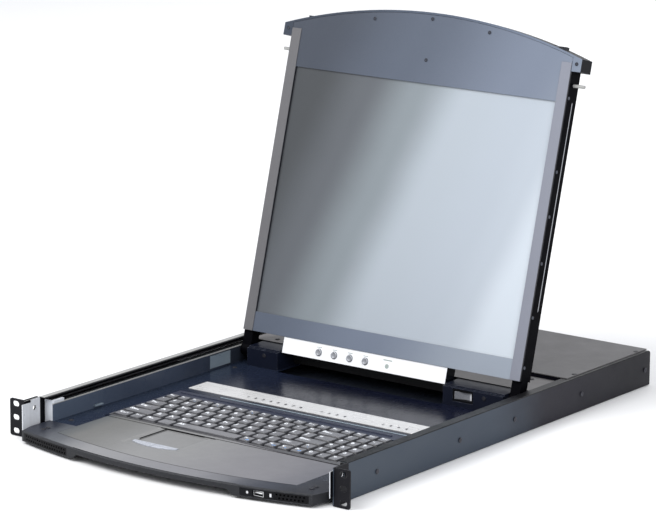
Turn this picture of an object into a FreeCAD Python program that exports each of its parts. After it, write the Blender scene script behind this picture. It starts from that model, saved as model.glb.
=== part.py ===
import FreeCAD, Part

import os
import re

import Sketcher

# Rackmount LCD console drawer: a 1U chassis with a sliding keyboard drawer and a folding screen.
# The origin is the centre of the two rack ears, on their front faces: +X is to the right,
# +Y goes back into the rack and +Z goes up. Lengths are in millimetres, angles in degrees.
# The lid is drawn upright about its own hinge axis, with its screen towards -Y, and its
# placement leans it back by lid_tilt.

SIZES = {
    # Rack ears
    "panel_width": 482.6,
    "panel_height": 43.4,
    "ear_thickness": 2.0,
    "ear_leg_length": 24.0,
    "ear_corner": 2.5,
    "slot_margin": 8.75,
    "slots_up": 31.75,
    "slot_length": 10.0,
    "slot_height": 6.6,
    # Chassis
    "ear_reach": 21.3,
    "chassis_depth": 639.0,
    "chassis_sheet": 1.2,
    "flange_width": 12.0,
    "flange_start": 26.0,
    "cover_sheet": 1.0,
    "cover_reach": 5.0,
    "corner_radius": 4.0,
    "rear_box_depth": 176.0,
    "bracket_sheet": 1.0,
    "bracket_front": 5.0,
    "bracket_back": 25.0,
    "bracket_bottom": -12.0,
    "bracket_top": 20.6,
    "bracket_step": 3.0,
    "bracket_notch": 10.0,
    "latch_hole_radius": 3.0,
    "latch_relief_radius": 4.2,
    # Slides
    "slide_start": 36.0,
    "slide_outer_length": 460.0,
    "slide_height": 35.2,
    "slide_sheet": 1.2,
    "slide_gap": 0.8,
    "slide_overlap": 9.8,
    "ball_space": 2.6,
    "ball_size": 2.0,
    "ball_count": 12.0,
    "cage_length": 190.0,
    "cage_inset": 5.0,
    "cage_width": 3.0,
    "cage_sheet": 0.8,
    "cage_margin": 6.0,
    "cage_rear_gap": 4.0,
    "ball_inset": 0.5,
    "release_place": 68.0,
    "release_length": 14.0,
    "release_rise": 2.4,
    "release_sheet": 1.6,
    "release_reach": 3.0,
    # Drawer
    "slide_room": 14.0,
    "drawer_sheet": 1.2,
    "drawer_bottom": -19.0,
    "drawer_end_gap": 3.0,
    "wall_start": 33.0,
    "wall_top": 13.5,
    "deck_top": -7.25,
    "deck_sheet": 1.2,
    "floor_front": -12.0,
    "wall_cut": 3.0,
    "window_place": 284.0,
    "window_length": 41.0,
    "window_bottom": -5.5,
    "window_rim": 2.5,
    "passage_left": -60.0,
    "passage_width": 80.0,
    "passage_rise": 6.0,
    "passage_height": 14.0,
    "well_margin": 2.0,
    "well_lead": 4.0,
    "bow_radius": 717.0,
    "bow_front": 50.0,
    "handle_side_gap": 9.0,
    "bar_end_gap": 16.5,
    "bar_slant": 9.5,
    "bar_thickness": 5.6,
    "bar_depth": 24.0,
    "bar_edge": 4.0,
    "bar_groove": 1.6,
    "bar_groove_depth": 0.8,
    "grille_length": 79.0,
    "grille_margin": 9.0,
    "grille_sheet": 1.6,
    "grille_depth": 12.0,
    "grille_height": 8.4,
    "grille_columns": 18.0,
    "grille_hole": 2.2,
    "grille_lead": 1.0,
    "port_end_gap": 38.0,
    "port_sheet": 1.6,
    "usb_inset": 22.0,
    "usb_width": 13.2,
    "usb_height": 5.8,
    "usb_wall": 0.4,
    "usb_depth": 8.0,
    "led_inset": 8.8,
    "led_radius": 1.6,
    "led_seat": 3.0,
    "led_tail": 4.0,
    "reset_half_width": 1.5,
    "reset_half_height": 2.2,
    "reset_tail": 5.8,
    "reset_inset": 36.4,
    "end_plate_top": 17.0,
    "end_plate_bottom": -10.0,
    "hook_inside": 1.0,
    "hook_outside": 2.0,
    "hook_length": 18.0,
    # Palm rest, touchpad and keyboard
    "palm_side": 36.0,
    "palm_band": 28.7,
    "palm_sheet": 2.0,
    "pad_left": -80.0,
    "pad_width": 60.0,
    "pad_front": 33.5,
    "pad_depth": 52.0,
    "pad_sink": 0.5,
    "pad_border": 2.0,
    "dish_left": -91.0,
    "dish_right": -10.0,
    "dish_front": 17.5,
    "dish_back": 90.5,
    "dish_depth": 0.9,
    "dish_slope": 3.0,
    "click_left": -83.0,
    "click_right": -20.0,
    "click_front": 21.0,
    "click_back": 32.5,
    "click_radius": 77.5,
    "click_height": 3.2,
    "click_proud": 0.9,
    "click_travel": 0.6,
    "keys_left": -171.2,
    "keys_front": 96.0,
    "key_pitch": 18.2,
    "row_pitch": 18.7,
    "side_pitch": 16.6,
    "side_gap": 0.8,
    "key_gap": 1.4,
    "key_taper": 1.7,
    "key_height": 5.0,
    "key_top": -5.0,
    "key_travel": 2.5,
    "key_stem": 4.0,
    "stem_seat": 1.0,
    "groove_play": 1.5,
    "groove_inset": 1.0,
    "function_depth": 16.0,
    "bezel_left": 2.6,
    "bezel_right": 9.8,
    "bezel_rise": 0.8,
    "bezel_back": 20.0,
    "bezel_front": 1.0,
    "rib_left": 8.0,
    "rib_right": 22.0,
    "rib_setback": 10.0,
    "rib_width": 2.0,
    "rib_height": 1.2,
    "bulge_start": 15.0,
    "bulge_end": 95.0,
    "bulge_reach": 6.0,
    "keyboard_base_top": -12.8,
    "strip_start": 241.0,
    "strip_depth": 35.0,
    "strip_sheet": 0.8,
    "lamp_radius": 1.5,
    "lamp_inset": 16.0,
    "lamp_pitch": 14.0,
    "lamp_height": 0.5,
    # Hinge blocks and rear deck
    "hinge_from_end": 75.0,
    "block_front": 15.0,
    "block_top": 16.5,
    "block_gap": 2.8,
    "left_block_width": 46.0,
    "right_block_width": 84.0,
    "block_step": 1.8,
    "block_step_depth": 4.0,
    "rear_deck_setback": 18.0,
    "rear_deck_sheet": 1.0,
    "rear_deck_top": 17.5,
    "skirt_rise": 14.0,
    "hinge_height": 8.4,
    "hinge_pin_radius": 4.0,
    "hinge_play": 0.05,
    "switch_inset": 28.0,
    "switch_height": 6.0,
    "switch_width": 23.0,
    "switch_thickness": 9.0,
    "switch_frame": 3.0,
    "switch_angle": 9.0,
    "pocket_depth": 12.0,
    "mouth_depth": 9.5,
    "frame_sink": 0.6,
    "rocker_play": 0.8,
    "rocker_end": 2.8,
    "rocker_valley": 1.0,
    "rocker_shoulder": 2.0,
    "rocker_draw": 1.5,
    "rocker_back": 4.5,
    "rocker_setback": 4.0,
    # Lid, measured from its hinge axis
    "lid_tilt": 15.14,
    "lid_side_gap": 18.0,
    "lid_bottom": 23.1,
    "lid_front": 9.3,
    "lid_thickness": 22.3,
    "lid_sheet": 1.2,
    "lid_bow_inset": 1.6,
    "bezel_sheet": 2.2,
    "bezel_inset": 3.0,
    "screen_margin": 13.75,
    "screen_top_gap": 20.7,
    "screen_bottom": 47.1,
    "panel_overlap": 2.0,
    "panel_thickness": 9.0,
    "trim_width": 13.6,
    "trim_sheet": 0.8,
    "cap_side_gap": 5.0,
    "cap_rise": 15.7,
    "cap_overlap": 10.0,
    "cap_wall": 3.0,
    "control_left_gap": 1.0,
    "control_right_gap": 3.0,
    "control_bottom": 3.6,
    "control_front": 8.3,
    "control_back": 9.0,
    "button_first": -86.0,
    "button_pitch": 22.93,
    "button_level": 12.1,
    "button_radius": 4.25,
    "button_proud": 1.5,
    "button_travel": 0.8,
    "bore_depth": 5.0,
    "arm_width": 13.0,
    "arm_gap": 2.0,
    "knuckle_radius": 8.0,
    "latch_setback": 15.6,
    "pin_offset": 1.7,
    "pin_radius": 2.0,
    "pin_tip_gap": 0.3,
    "pin_inset": 26.0,
    "catch_width": 10.0,
    "catch_thickness": 7.0,
    "catch_proud": 2.5,
    "latch_throw": 2.5,
    "latch_pull": 8.0,
    # Rear connections and the boards inside
    "inlet_left": 150.0,
    "inlet_width": 27.4,
    "inlet_height": 19.8,
    "inlet_flange": 3.0,
    "inlet_brow": 1.5,
    "inlet_lip": 2.0,
    "inlet_wall": 2.0,
    "inlet_depth": 22.0,
    "inlet_socket": 16.0,
    "blade_setback": 4.0,
    "blade_seat": 1.0,
    "blade_pitch": 7.0,
    "blade_sheet": 2.0,
    "blade_height": 4.0,
    "port_first": -150.0,
    "port_pitch": 55.0,
    "port_width": 32.0,
    "port_height": 11.0,
    "port_proud": 5.5,
    "port_inside": 8.0,
    "port_flange": 3.0,
    "port_flange_sheet": 1.0,
    "port_brow": 0.8,
    "port_wide": 18.0,
    "port_narrow": 15.2,
    "port_tall": 7.6,
    "jack_radius": 2.4,
    "jack_spread": 12.5,
    "jack_seat": 2.0,
    "board_left_edge": -190.0,
    "board_right_edge": 60.0,
    "board_inset": 30.0,
    "board_rear_gap": 25.0,
    "board_sheet": 1.6,
    "board_stand": 5.0,
    "pillar_radius": 2.5,
    "pillar_inset": 8.0,
    "chip_first": 40.0,
    "chip_pitch": 52.0,
    "chip_side": 26.0,
    "chip_height": 2.5,
    "chip_setback": 40.0,
    "supply_left": 80.0,
    "supply_right": 190.0,
    "supply_gap": 8.0,
    "supply_headroom": 5.0,
    # Clearances and fasteners
    "over": 1.0,
    "fit_gap": 0.3,
    "button_play": 0.3,
    "screw_radius": 3.0,
    "screw_height": 1.2,
    "thin_head": 0.7,
    "bezel_screw_radius": 2.2,
    "side_screw_radius": 2.0,
    "block_screw_radius": 2.5,
    "deck_head": 1.0,
    "cover_screw_inset": 8.0,
    "wall_screw_level": -1.0,
    "rear_screw_drop": 7.0,
    "rear_screw_inset": 20.0,
    "deck_screw_inset": 14.0,
    "deck_screw_lead": 15.0,
    "deck_screw_tail": 20.0,
    "front_screw_inset": 12.0,
    "front_screw_pitch": 8.0,
    "wall_screw_inset": 12.0,
    "block_screw_inset": 26.0,
    "rear_deck_screw_inset": 12.0,
    "bezel_screw_place": 83.0,
    "bezel_screw_drop": 15.5,
    "centre_screw_drop": 7.7,
    "lower_screw_rise": 7.1,
    "cap_screw_inset": 6.5,
    "cap_screw_rise": 9.0,
    "side_screw_depth": 5.0,
    "side_screw_foot": 16.0,
}

# Places worked out from the sizes above, each an expression in their names.
DERIVED = {
    "half_panel": "panel_width / 2",
    "ear_top": "panel_height / 2",
    "chassis_bottom": "-panel_height / 2",
    "chassis_top": "panel_height / 2 - cover_sheet / 2",
    "half_chassis": "half_panel - ear_reach",
    "slot_centre": "half_panel - slot_margin",
    "rear_box_start": "chassis_depth - rear_box_depth",
    "drawer_end": "rear_box_start - drawer_end_gap",
    "hinge_setback": "drawer_end - hinge_from_end",
    "slide_middle_length": "drawer_end - slide_start",
    "web_inside": "half_chassis - chassis_sheet",
    "floor_top": "chassis_bottom + 2 * chassis_sheet",
    "bracket_inside": "web_inside - bracket_sheet",
    "latch_y": "latch_setback",
    "latch_z": "hinge_height + pin_offset",
    "outer_top": "slide_height / 2",
    "outer_inside": "web_inside - slide_sheet",
    "middle_web": "outer_inside - slide_gap",
    "middle_top": "outer_top - slide_sheet - ball_space",
    "inner_top": "middle_top - slide_sheet - ball_space",
    "half_drawer": "half_chassis - slide_room",
    "drawer_inside": "half_drawer - drawer_sheet",
    "drawer_floor": "drawer_bottom + drawer_sheet",
    "deck_under": "deck_top - deck_sheet",
    "handle_half_width": "half_chassis - handle_side_gap",
    "handle_corner": "half_drawer",
    "bow_centre": "bow_radius - bow_front",
    "bow_corner": "bow_centre - sqrt(bow_radius^2 - handle_corner^2)",
    "bar_bottom": "deck_top - bar_thickness",
    "grille_end": "handle_half_width - grille_margin",
    "grille_start": "grille_end - grille_length",
    "bar_half_width": "grille_start - bar_end_gap",
    "port_end": "grille_end - port_end_gap",
    "led_place": "grille_start + led_inset",
    "usb_place": "grille_start + usb_inset",
    "reset_place": "grille_start + reset_inset",
    "grille_bottom": "(drawer_bottom + deck_top - grille_height) / 2",
    "grille_top": "grille_bottom + grille_height",
    "usb_front": ("bow_centre - sqrt(bow_radius^2 - (usb_place + usb_width / 2)^2)"
                  " - 2 * fit_gap"),
    "palm_half_width": "half_drawer - palm_side",
    "palm_radius": "bow_radius - palm_band",
    "main_right": "keys_left + 15 * key_pitch",
    "side_left": "main_right + side_gap",
    "keys_right": "side_left + 3 * side_pitch",
    "function_front": "keys_front + 5 * row_pitch",
    "keys_back": "function_front + function_depth",
    "board_left": "keys_left - bezel_left",
    "board_right": "keys_right + bezel_right",
    "board_back": "keys_back + bezel_back",
    "board_front": "keys_front - bezel_front",
    "key_bottom": "key_top - key_height",
    "groove_depth": "key_travel + groove_play",
    "bulge_front": "board_front - bulge_reach",
    "click_bottom": "deck_top - dish_depth + click_proud - click_height",
    "lid_back_face": "lid_thickness - lid_front",
    "half_lid": "half_chassis - lid_side_gap",
    "pin_level": "hinge_setback - latch_setback",
    "cap_bottom": "pin_level + cap_rise",
    "lid_shell_top": "cap_bottom + cap_overlap",
    "lid_bow_top": "hinge_setback + bow_front - lid_bow_inset",
    "cap_half_width": "half_chassis - cap_side_gap",
    "pin_inner": "half_lid - pin_inset",
    "half_screen": "half_lid - screen_margin",
    "lid_bow_centre": "lid_bow_top - bow_radius",
    "bezel_back_face": "bezel_sheet - lid_front",
    "screen_top": "pin_level - screen_top_gap",
    "pin_tip": "bracket_inside - pin_tip_gap",
    "arm_outer": "drawer_inside - arm_gap",
    "arm_inner": "arm_outer - arm_width",
    "block_outer": "arm_inner - block_gap",
    "block_start": "hinge_setback - block_front",
    "left_block_inner": "block_outer - left_block_width",
    "right_block_inner": "block_outer - right_block_width",
    "rear_deck_start": "hinge_setback + rear_deck_setback",
    "control_left": "control_left_gap - left_block_inner",
    "control_right": "right_block_inner - control_right_gap",
    "switch_place": "right_block_inner + switch_inset",
    "switch_low": "switch_height - switch_thickness / 2",
    "switch_high": "switch_height + switch_thickness / 2",
    "release_start": "slide_start + release_place",
    "release_bottom": "deck_top + release_rise",
    "window_start": "slide_start + window_place",
    "inlet_right": "inlet_left + inlet_width",
    "inlet_bottom": "-inlet_height / 2",
    "inlet_top": "inlet_height / 2",
    "inlet_face": "chassis_depth + inlet_lip",
    "port_bottom": "-port_height / 2",
    "port_top": "port_height / 2",
    "board_level": "floor_top + board_stand",
    "board_surface": "board_level + board_sheet",
    "board_start": "rear_box_start + board_inset",
    "board_end": "chassis_depth - board_rear_gap",
    "chip_start": "board_start + chip_setback",
}

# Key widths of each row in key pitches, from the front row to the back one.
KEY_ROWS = {
    "bottom_row_keys": (1.25, 1, 1.25, 1.25, 5.25, 1, 1, 1, 1, 1),
    "shift_row_keys": (2.25,) + 10 * (1,) + (1.75, 1),
    "home_row_keys": (1.75,) + 11 * (1,) + (2.25,),
    "tab_row_keys": (1.5,) + 12 * (1,) + (1.5,),
    "number_row_keys": 13 * (1,) + (2,),
}
SIDE_COLUMNS = 3
FUNCTION_KEYS = 19

# Left edges of the rear sockets, and where screws sit along the side walls and up the lid.
PORT_PLACES = ("port_first", "port_first + port_pitch")
WALL_SCREWS = (
    *(f"slide_start + {share} * slide_outer_length" for share in (0.092, 0.435, 0.674, 0.98)),
    "chassis_depth - wall_screw_inset")
DECK_SCREWS = ("wall_start + deck_screw_lead", "block_start - deck_screw_tail",
               "floor_front + front_screw_inset",
               "floor_front + front_screw_inset + front_screw_pitch")
LID_SCREW_SHARES = (0, 0.151, 0.314, 0.455, 0.59, 0.812)

document = FreeCAD.newDocument("console_drawer")
sheet = document.addObject("Spreadsheet::Sheet", "Sizes")
nodes = []


def fill_sheet():
    """Write each size beside its name, with the name as the cell's alias."""
    for row, (name, value) in enumerate(SIZES.items(), start=1):
        sheet.set(f"A{row}", name)
        sheet.set(f"B{row}", str(value))
        sheet.setAlias(f"B{row}", name)
    document.recompute()


def expand(text):
    """Turn size names and derived names into references to the sheet's cells."""
    def swap(match):
        word = match.group(0)
        if word in DERIVED:
            return "(" + expand(DERIVED[word]) + ")"
        if word in SIZES:
            return "Sizes." + word
        return word
    return re.sub(r"[A-Za-z_]+", swap, str(text))


def value(text):
    """Number that an expression in size names stands for."""
    return float(sheet.evalExpression(expand(text)))


def bind(item, name, text):
    """Bind one property of an object to an expression in size names."""
    item.setExpression(name, expand(text))


def place(item, x=0, y=0, z=0):
    """Bind an object's position."""
    for axis, text in zip("xyz", (x, y, z)):
        bind(item, f"Placement.Base.{axis}", text)
    return item


def box(name, x, y, z):
    """Box between the low and high expressions given for each axis."""
    item = document.addObject("Part::Box", name)
    for side, (low, high) in zip(("Length", "Width", "Height"), (x, y, z)):
        bind(item, side, f"({high}) - ({low})")
    return place(item, x[0], y[0], z[0])


TURNS = {
    "x": FreeCAD.Rotation(FreeCAD.Vector(0, 1, 0), 90),
    "y": FreeCAD.Rotation(FreeCAD.Vector(1, 0, 0), -90),
    "z": FreeCAD.Rotation(),
}


def cylinder(name, axis, radius, x, y, z):
    """Cylinder along an axis, whose own entry among x, y and z is its span."""
    item = document.addObject("Part::Cylinder", name)
    item.Placement = FreeCAD.Placement(FreeCAD.Vector(), TURNS[axis])
    spans = dict(x=x, y=y, z=z)
    low, high = spans[axis]
    spans[axis] = low
    bind(item, "Radius", radius)
    bind(item, "Height", f"({high}) - ({low})")
    return place(item, **spans)


def fuse(name, *parts):
    """One solid from several that touch or overlap."""
    item = document.addObject("Part::MultiFuse", name)
    item.Shapes = list(parts)
    item.Refine = True
    return item


def group(name, *parts):
    """Separate solids kept in one node."""
    item = document.addObject("Part::Compound", name)
    item.Links = list(parts)
    return item


def cut(name, base, *tools):
    """Base with one or more tools taken away."""
    item = document.addObject("Part::Cut", name)
    item.Base = base
    item.Tool = tools[0] if len(tools) == 1 else group(name + "_tools", *tools)
    item.Refine = True
    return item


def common(name, first, second):
    """What two solids share."""
    item = document.addObject("Part::MultiCommon", name)
    item.Shapes = [first, second]
    return item


def mirror(name, source):
    """Copy of a part on the other side of the middle plane."""
    item = document.addObject("Part::Mirroring", name)
    item.Source = source
    item.Normal = FreeCAD.Vector(1, 0, 0)
    return item


def node(name, item):
    """Keep an object as one of the sub-parts that are written out."""
    item.Label = name
    nodes.append(item)
    return item


def origin_plane(body, role):
    """Origin plane of a body, found by its role."""
    return next(entry for entry in body.Origin.OriginFeatures if entry.Role == role)


def outline(body, name, plane, points):
    """Closed sketch on an origin plane with its corners bound to pairs of expressions."""
    sketch = body.newObject("Sketcher::SketchObject", name)
    sketch.AttachmentSupport = (origin_plane(body, plane), [""])
    sketch.MapMode = "FlatFace"
    corners = [FreeCAD.Vector(value(across), value(up), 0) for across, up in points]
    for index, corner in enumerate(corners):
        sketch.addGeometry(Part.LineSegment(corner, corners[(index + 1) % len(corners)]))
    for index in range(len(corners)):
        following = (index + 1) % len(corners)
        sketch.addConstraint(Sketcher.Constraint("Coincident", index, 2, following, 1))
    for index, (across, up) in enumerate(points):
        for kind, text in (("DistanceX", across), ("DistanceY", up)):
            number = sketch.addConstraint(
                Sketcher.Constraint(kind, -1, 1, index, 1, value(text)))
            bind(sketch, f"Constraints[{number}]", text)
    return sketch


def prism(name, plane, points, low, high):
    """Body padded from an outline between two expressions along the plane's normal."""
    body = document.addObject("PartDesign::Body", name)
    sketch = outline(body, name + "_outline", plane, points)
    pad = body.newObject("PartDesign::Pad", name + "_pad")
    pad.Profile = sketch
    pad.Reversed = plane == "XZ_Plane"
    bind(pad, "Length", f"({high}) - ({low})")
    axis = {"XY_Plane": "z", "XZ_Plane": "y", "YZ_Plane": "x"}[plane]
    place(body, **{axis: low})
    document.recompute()
    return body


def round_edges(body, radius, chosen):
    """Fillet the edges of a body's tip whose middle and direction are accepted."""
    sharp = body.Tip
    names = [f"Edge{index}" for index, edge in enumerate(sharp.Shape.Edges, start=1)
             if chosen(edge.CenterOfMass, edge.tangentAt(edge.FirstParameter))]
    fillet = body.newObject("PartDesign::Fillet", body.Name + "_fillet")
    fillet.Base = (sharp, names)
    bind(fillet, "Radius", radius)
    body.Tip = fillet
    document.recompute()
    return body


def slot(name, x, z, y_span):
    """Tool for a level slot with round ends, through the ears along Y."""
    straight = "(slot_length - slot_height) / 2"
    radius = "slot_height / 2"
    middle = box(name + "_middle", (f"{x} - {straight}", f"{x} + {straight}"), y_span,
                 (f"{z} - {radius}", f"{z} + {radius}"))
    ends = [cylinder(f"{name}_end{side}", "y", radius, f"{x} + {side} * {straight}", y_span, z)
            for side in (-1, 1)]
    return fuse(name, middle, *ends)


def bowed(name, plane_item, radius, centre):
    """Trim a plate of the drawer's front to the bow's arc."""
    arc = cylinder(name + "_arc", "z", radius, 0, centre, ("drawer_bottom - 5", "wall_top + 5"))
    return common(name, plane_item, arc)


def lean(item):
    """Put a piece drawn about the hinge axis at its place on the lid."""
    frame = group(item.Name + "_leaned", item)
    frame.Placement = FreeCAD.Placement(
        FreeCAD.Vector(), FreeCAD.Rotation(FreeCAD.Vector(1, 0, 0), -value("lid_tilt")))
    bind(frame, "Placement.Rotation.Angle", "-lid_tilt")
    return place(frame, 0, "hinge_setback", "hinge_height")


# Chassis --------------------------------------------------------------------------------------

def make_side_channel():
    """Folded side wall with a flange at its top and bottom."""
    web = "half_chassis"
    inside = "web_inside"
    lip = "half_chassis - flange_width"
    body = prism("channel", "XZ_Plane", (
        (web, "chassis_bottom"), (web, "chassis_top"), (lip, "chassis_top"),
        (lip, "chassis_top - chassis_sheet"), (inside, "chassis_top - chassis_sheet"),
        (inside, "chassis_bottom + chassis_sheet"), (lip, "chassis_bottom + chassis_sheet"),
        (lip, "chassis_bottom")), "0", "chassis_depth")
    body = round_edges(body, "corner_radius / 4", lambda middle, along: (
        abs(along.y) > 0.99 and abs(middle.x - value(web)) < 0.01))
    notch = box("channel_notch", (f"{lip} - over", inside), ("-over", "flange_start"),
                ("chassis_bottom - over", "chassis_top + over"))
    relief = cylinder("channel_relief", "x", "latch_relief_radius", (f"{inside} - over", f"{web} + over"),
                      "latch_y", "latch_z")
    corner = cut("channel_corner",
                 box("channel_corner_block", (f"{lip} - over", f"{web} + over"),
                     ("chassis_depth - corner_radius", "chassis_depth + over"),
                     ("chassis_top - corner_radius", "chassis_top + over")),
                 cylinder("channel_corner_arc", "x", "corner_radius", (f"{lip} - 2", f"{web} + 2"),
                          "chassis_depth - corner_radius", "chassis_top - corner_radius"))
    right = node("side_channel_right", cut("channel_right", body, notch, relief, corner))
    node("side_channel_left", mirror("channel_left", right))


def make_rack_ear():
    """Angle bracket with three level slots, fixed to the outside of the side wall."""
    body = prism("ear", "XY_Plane", (
        ("half_chassis", "0"), ("half_panel", "0"), ("half_panel", "ear_thickness"),
        ("half_chassis + ear_thickness", "ear_thickness"),
        ("half_chassis + ear_thickness", "ear_leg_length"),
        ("half_chassis", "ear_leg_length")), "chassis_bottom", "ear_top")
    body = round_edges(body, "ear_corner", lambda middle, along: (
        abs(along.y) > 0.99 and abs(middle.x - value("half_panel")) < 0.01))
    slots = [slot(f"ear_slot{level}", "slot_centre", f"{level} * slots_up / 2",
                  ("-over", "ear_thickness + over")) for level in (-1, 0, 1)]
    relief = cylinder("ear_relief", "x", "latch_relief_radius",
                      ("half_chassis - over", "half_chassis + ear_thickness + over"),
                      "latch_y", "latch_z")
    right = node("rack_ear_right", cut("ear_right", body, *slots, relief))
    node("rack_ear_left", mirror("ear_left", right))


def make_latch_brackets():
    """Plates inside the walls whose holes take the lid's latch pins."""
    body = prism("bracket", "YZ_Plane", (
        ("-bracket_front", "bracket_bottom"), ("bracket_back", "bracket_bottom"),
        ("bracket_back", "bracket_top"), ("bracket_notch", "bracket_top"),
        ("bracket_notch", "bracket_top - bracket_step"),
        ("-bracket_front", "bracket_top - bracket_step")), "bracket_inside", "web_inside")
    hole = cylinder("bracket_hole", "x", "latch_hole_radius",
                    ("bracket_inside - over", "web_inside + over"), "latch_y", "latch_z")
    right = cut("bracket_right", body, hole)
    node("latch_brackets", group("brackets", right, mirror("bracket_left", right)))


def channel_profile(name, web, lips, top, start, length):
    """Rolled slide member: a web with a lip at its top and bottom."""
    edge = f"{web[1]}" if value(lips) < value(web[0]) else f"{web[0]}"
    inner = f"{web[0]}" if value(lips) < value(web[0]) else f"{web[1]}"
    return prism(name, "XZ_Plane", (
        (edge, f"-({top})"), (edge, top), (lips, top), (lips, f"{top} - slide_sheet"),
        (inner, f"{top} - slide_sheet"), (inner, f"slide_sheet - ({top})"),
        (lips, f"slide_sheet - ({top})"), (lips, f"-({top})")), start, f"{start} + {length}")


def make_slides():
    """Three-part ball slides between each side wall and the drawer."""
    outer = channel_profile("slide_outer", ("outer_inside", "web_inside"),
                            "web_inside - slide_overlap", "outer_top",
                            "slide_start", "slide_outer_length")
    middle = channel_profile("slide_middle", ("middle_web - slide_sheet", "middle_web"),
                             "half_drawer + 2 * slide_sheet", "middle_top",
                             "slide_start", "slide_middle_length")
    inner = channel_profile("slide_inner", ("half_drawer", "half_drawer + slide_sheet"),
                            "middle_web - slide_sheet - slide_gap", "inner_top",
                            "slide_start", "slide_middle_length")
    tab = box("slide_release", ("drawer_inside - release_reach", "half_drawer + slide_sheet"),
              ("release_start", "release_start + release_length"),
              ("release_bottom", "release_bottom + release_sheet"))
    inner = fuse("slide_inner_body", inner, tab)
    for name, member in (("slide_outer", outer), ("slide_middle", middle),
                         ("slide_inner", inner)):
        node(name + "_right", member)
        node(name + "_left", mirror(name + "_copy", member))


def ball_cage(name, level, start):
    """Strip between two slide lips with its balls standing out of both faces."""
    inside = "half_drawer + cage_inset"
    strip = box(name + "_strip", (inside, f"{inside} + cage_width"),
                (start, f"{start} + cage_length"),
                (f"{level} - cage_sheet / 2", f"{level} + cage_sheet / 2"))
    count = int(value("ball_count"))
    balls = []
    for index in range(count):
        along = f"{start} + cage_length * {index + 0.5} / ball_count"
        half = "ball_size / 2"
        balls.append(box(f"{name}_ball{index}",
                         (f"{inside} + ball_inset", f"{inside} + cage_width - ball_inset"),
                         (f"{along} - {half}", f"{along} + {half}"),
                         (f"{level} - {half}", f"{level} + {half}")))
    return fuse(name, strip, *balls)


def make_ball_cages():
    """Cages of both ball races of both slides, which travel with the middle members."""
    cages = []
    for side, sign in (("top", 1), ("bottom", -1)):
        outer = f"{sign} * (middle_top + ball_space / 2)"
        inner = f"{sign} * (inner_top + ball_space / 2)"
        rear = "slide_start + slide_middle_length - cage_length - cage_rear_gap"
        cages.append(ball_cage(f"outer_cage_{side}", outer, rear))
        cages.append(ball_cage(f"inner_cage_{side}", inner, "slide_start + cage_margin"))
    right = group("cages_right", *cages)
    node("ball_cages", group("cages", right, mirror("cages_left", right)))


def make_rear_box():
    """Folded floor with a rear panel and a partition, and the cover above it."""
    wide = "web_inside"
    bottom = "floor_top - chassis_sheet"
    top = "chassis_top - chassis_sheet"
    rear = "chassis_depth"
    tray = prism("rear_tray", "YZ_Plane", (
        ("rear_box_start", bottom), (rear, bottom), (rear, top),
        (f"{rear} - chassis_sheet", top), (f"{rear} - chassis_sheet", "floor_top"),
        ("rear_box_start + chassis_sheet", "floor_top"), ("rear_box_start + chassis_sheet", top),
        ("rear_box_start", top)), f"-({wide})", wide)
    slides = [box(f"rear_slide_gap{side}",
                  slide_passage(side),
                  ("rear_box_start - over", "rear_box_start + chassis_sheet"),
                  ("floor_top", "chassis_top")) for side in (-1, 1)]
    wall = (f"{rear} - chassis_sheet - over", f"{rear} + over")
    inlet = box("rear_inlet_hole", ("inlet_left", "inlet_right"), wall,
                ("inlet_bottom", "inlet_top"))
    ports = [box(f"rear_port_hole{index}", (left, f"{left} + port_width"),
                 wall, ("port_bottom", "port_top"))
             for index, left in enumerate(PORT_PLACES)]
    node("rear_base", cut("rear_base_cut", tray, *slides, inlet, *ports))
    plate = box("cover_plate", ("cover_reach - half_chassis", "half_chassis - cover_reach"),
                ("rear_box_start - over", "chassis_depth - fit_gap"),
                ("chassis_top", "chassis_top + cover_sheet"))
    node("rear_cover", plate)


def slide_passage(side):
    """Span across X of the partition's opening for one side's slide."""
    inner, outer = "half_drawer - fit_gap", "half_chassis"
    return (inner, outer) if side > 0 else (f"-({outer})", f"-({inner})")


def make_power_inlet():
    """Appliance inlet with its flange outside the rear panel and three flat blades."""
    left, right, face = "inlet_left", "inlet_right", "inlet_face"
    flange = box("inlet_flange_plate", (f"{left} - inlet_flange", f"{right} + inlet_flange"),
                 ("chassis_depth", face), ("inlet_bottom - inlet_brow", "inlet_top + inlet_brow"))
    shell = box("inlet_shell", (f"{left} + fit_gap", f"{right} - fit_gap"),
                ("chassis_depth - inlet_depth", face),
                ("inlet_bottom + fit_gap", "inlet_top - fit_gap"))
    hollow = box("inlet_hollow", (f"{left} + inlet_wall", f"{right} - inlet_wall"),
                 (f"{face} - inlet_socket", f"{face} + over"),
                 ("inlet_bottom + inlet_wall", "inlet_top - inlet_wall"))
    blades = []
    for index, level in ((-1, "0"), (0, "-blade_height / 2"), (1, "0")):
        middle = f"{left} + inlet_width / 2 + {index} * blade_pitch"
        blades.append(box(f"inlet_blade{index}",
                          (f"{middle} - blade_sheet / 2", f"{middle} + blade_sheet / 2"),
                          (f"{face} - inlet_socket - blade_seat", "chassis_depth - blade_setback"),
                          (f"{level} - blade_height / 2", f"{level} + blade_height / 2")))
    housing = cut("inlet_housing", fuse("inlet_body", flange, shell), hollow)
    node("power_inlet", fuse("inlet_unit", housing, *blades))


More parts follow.
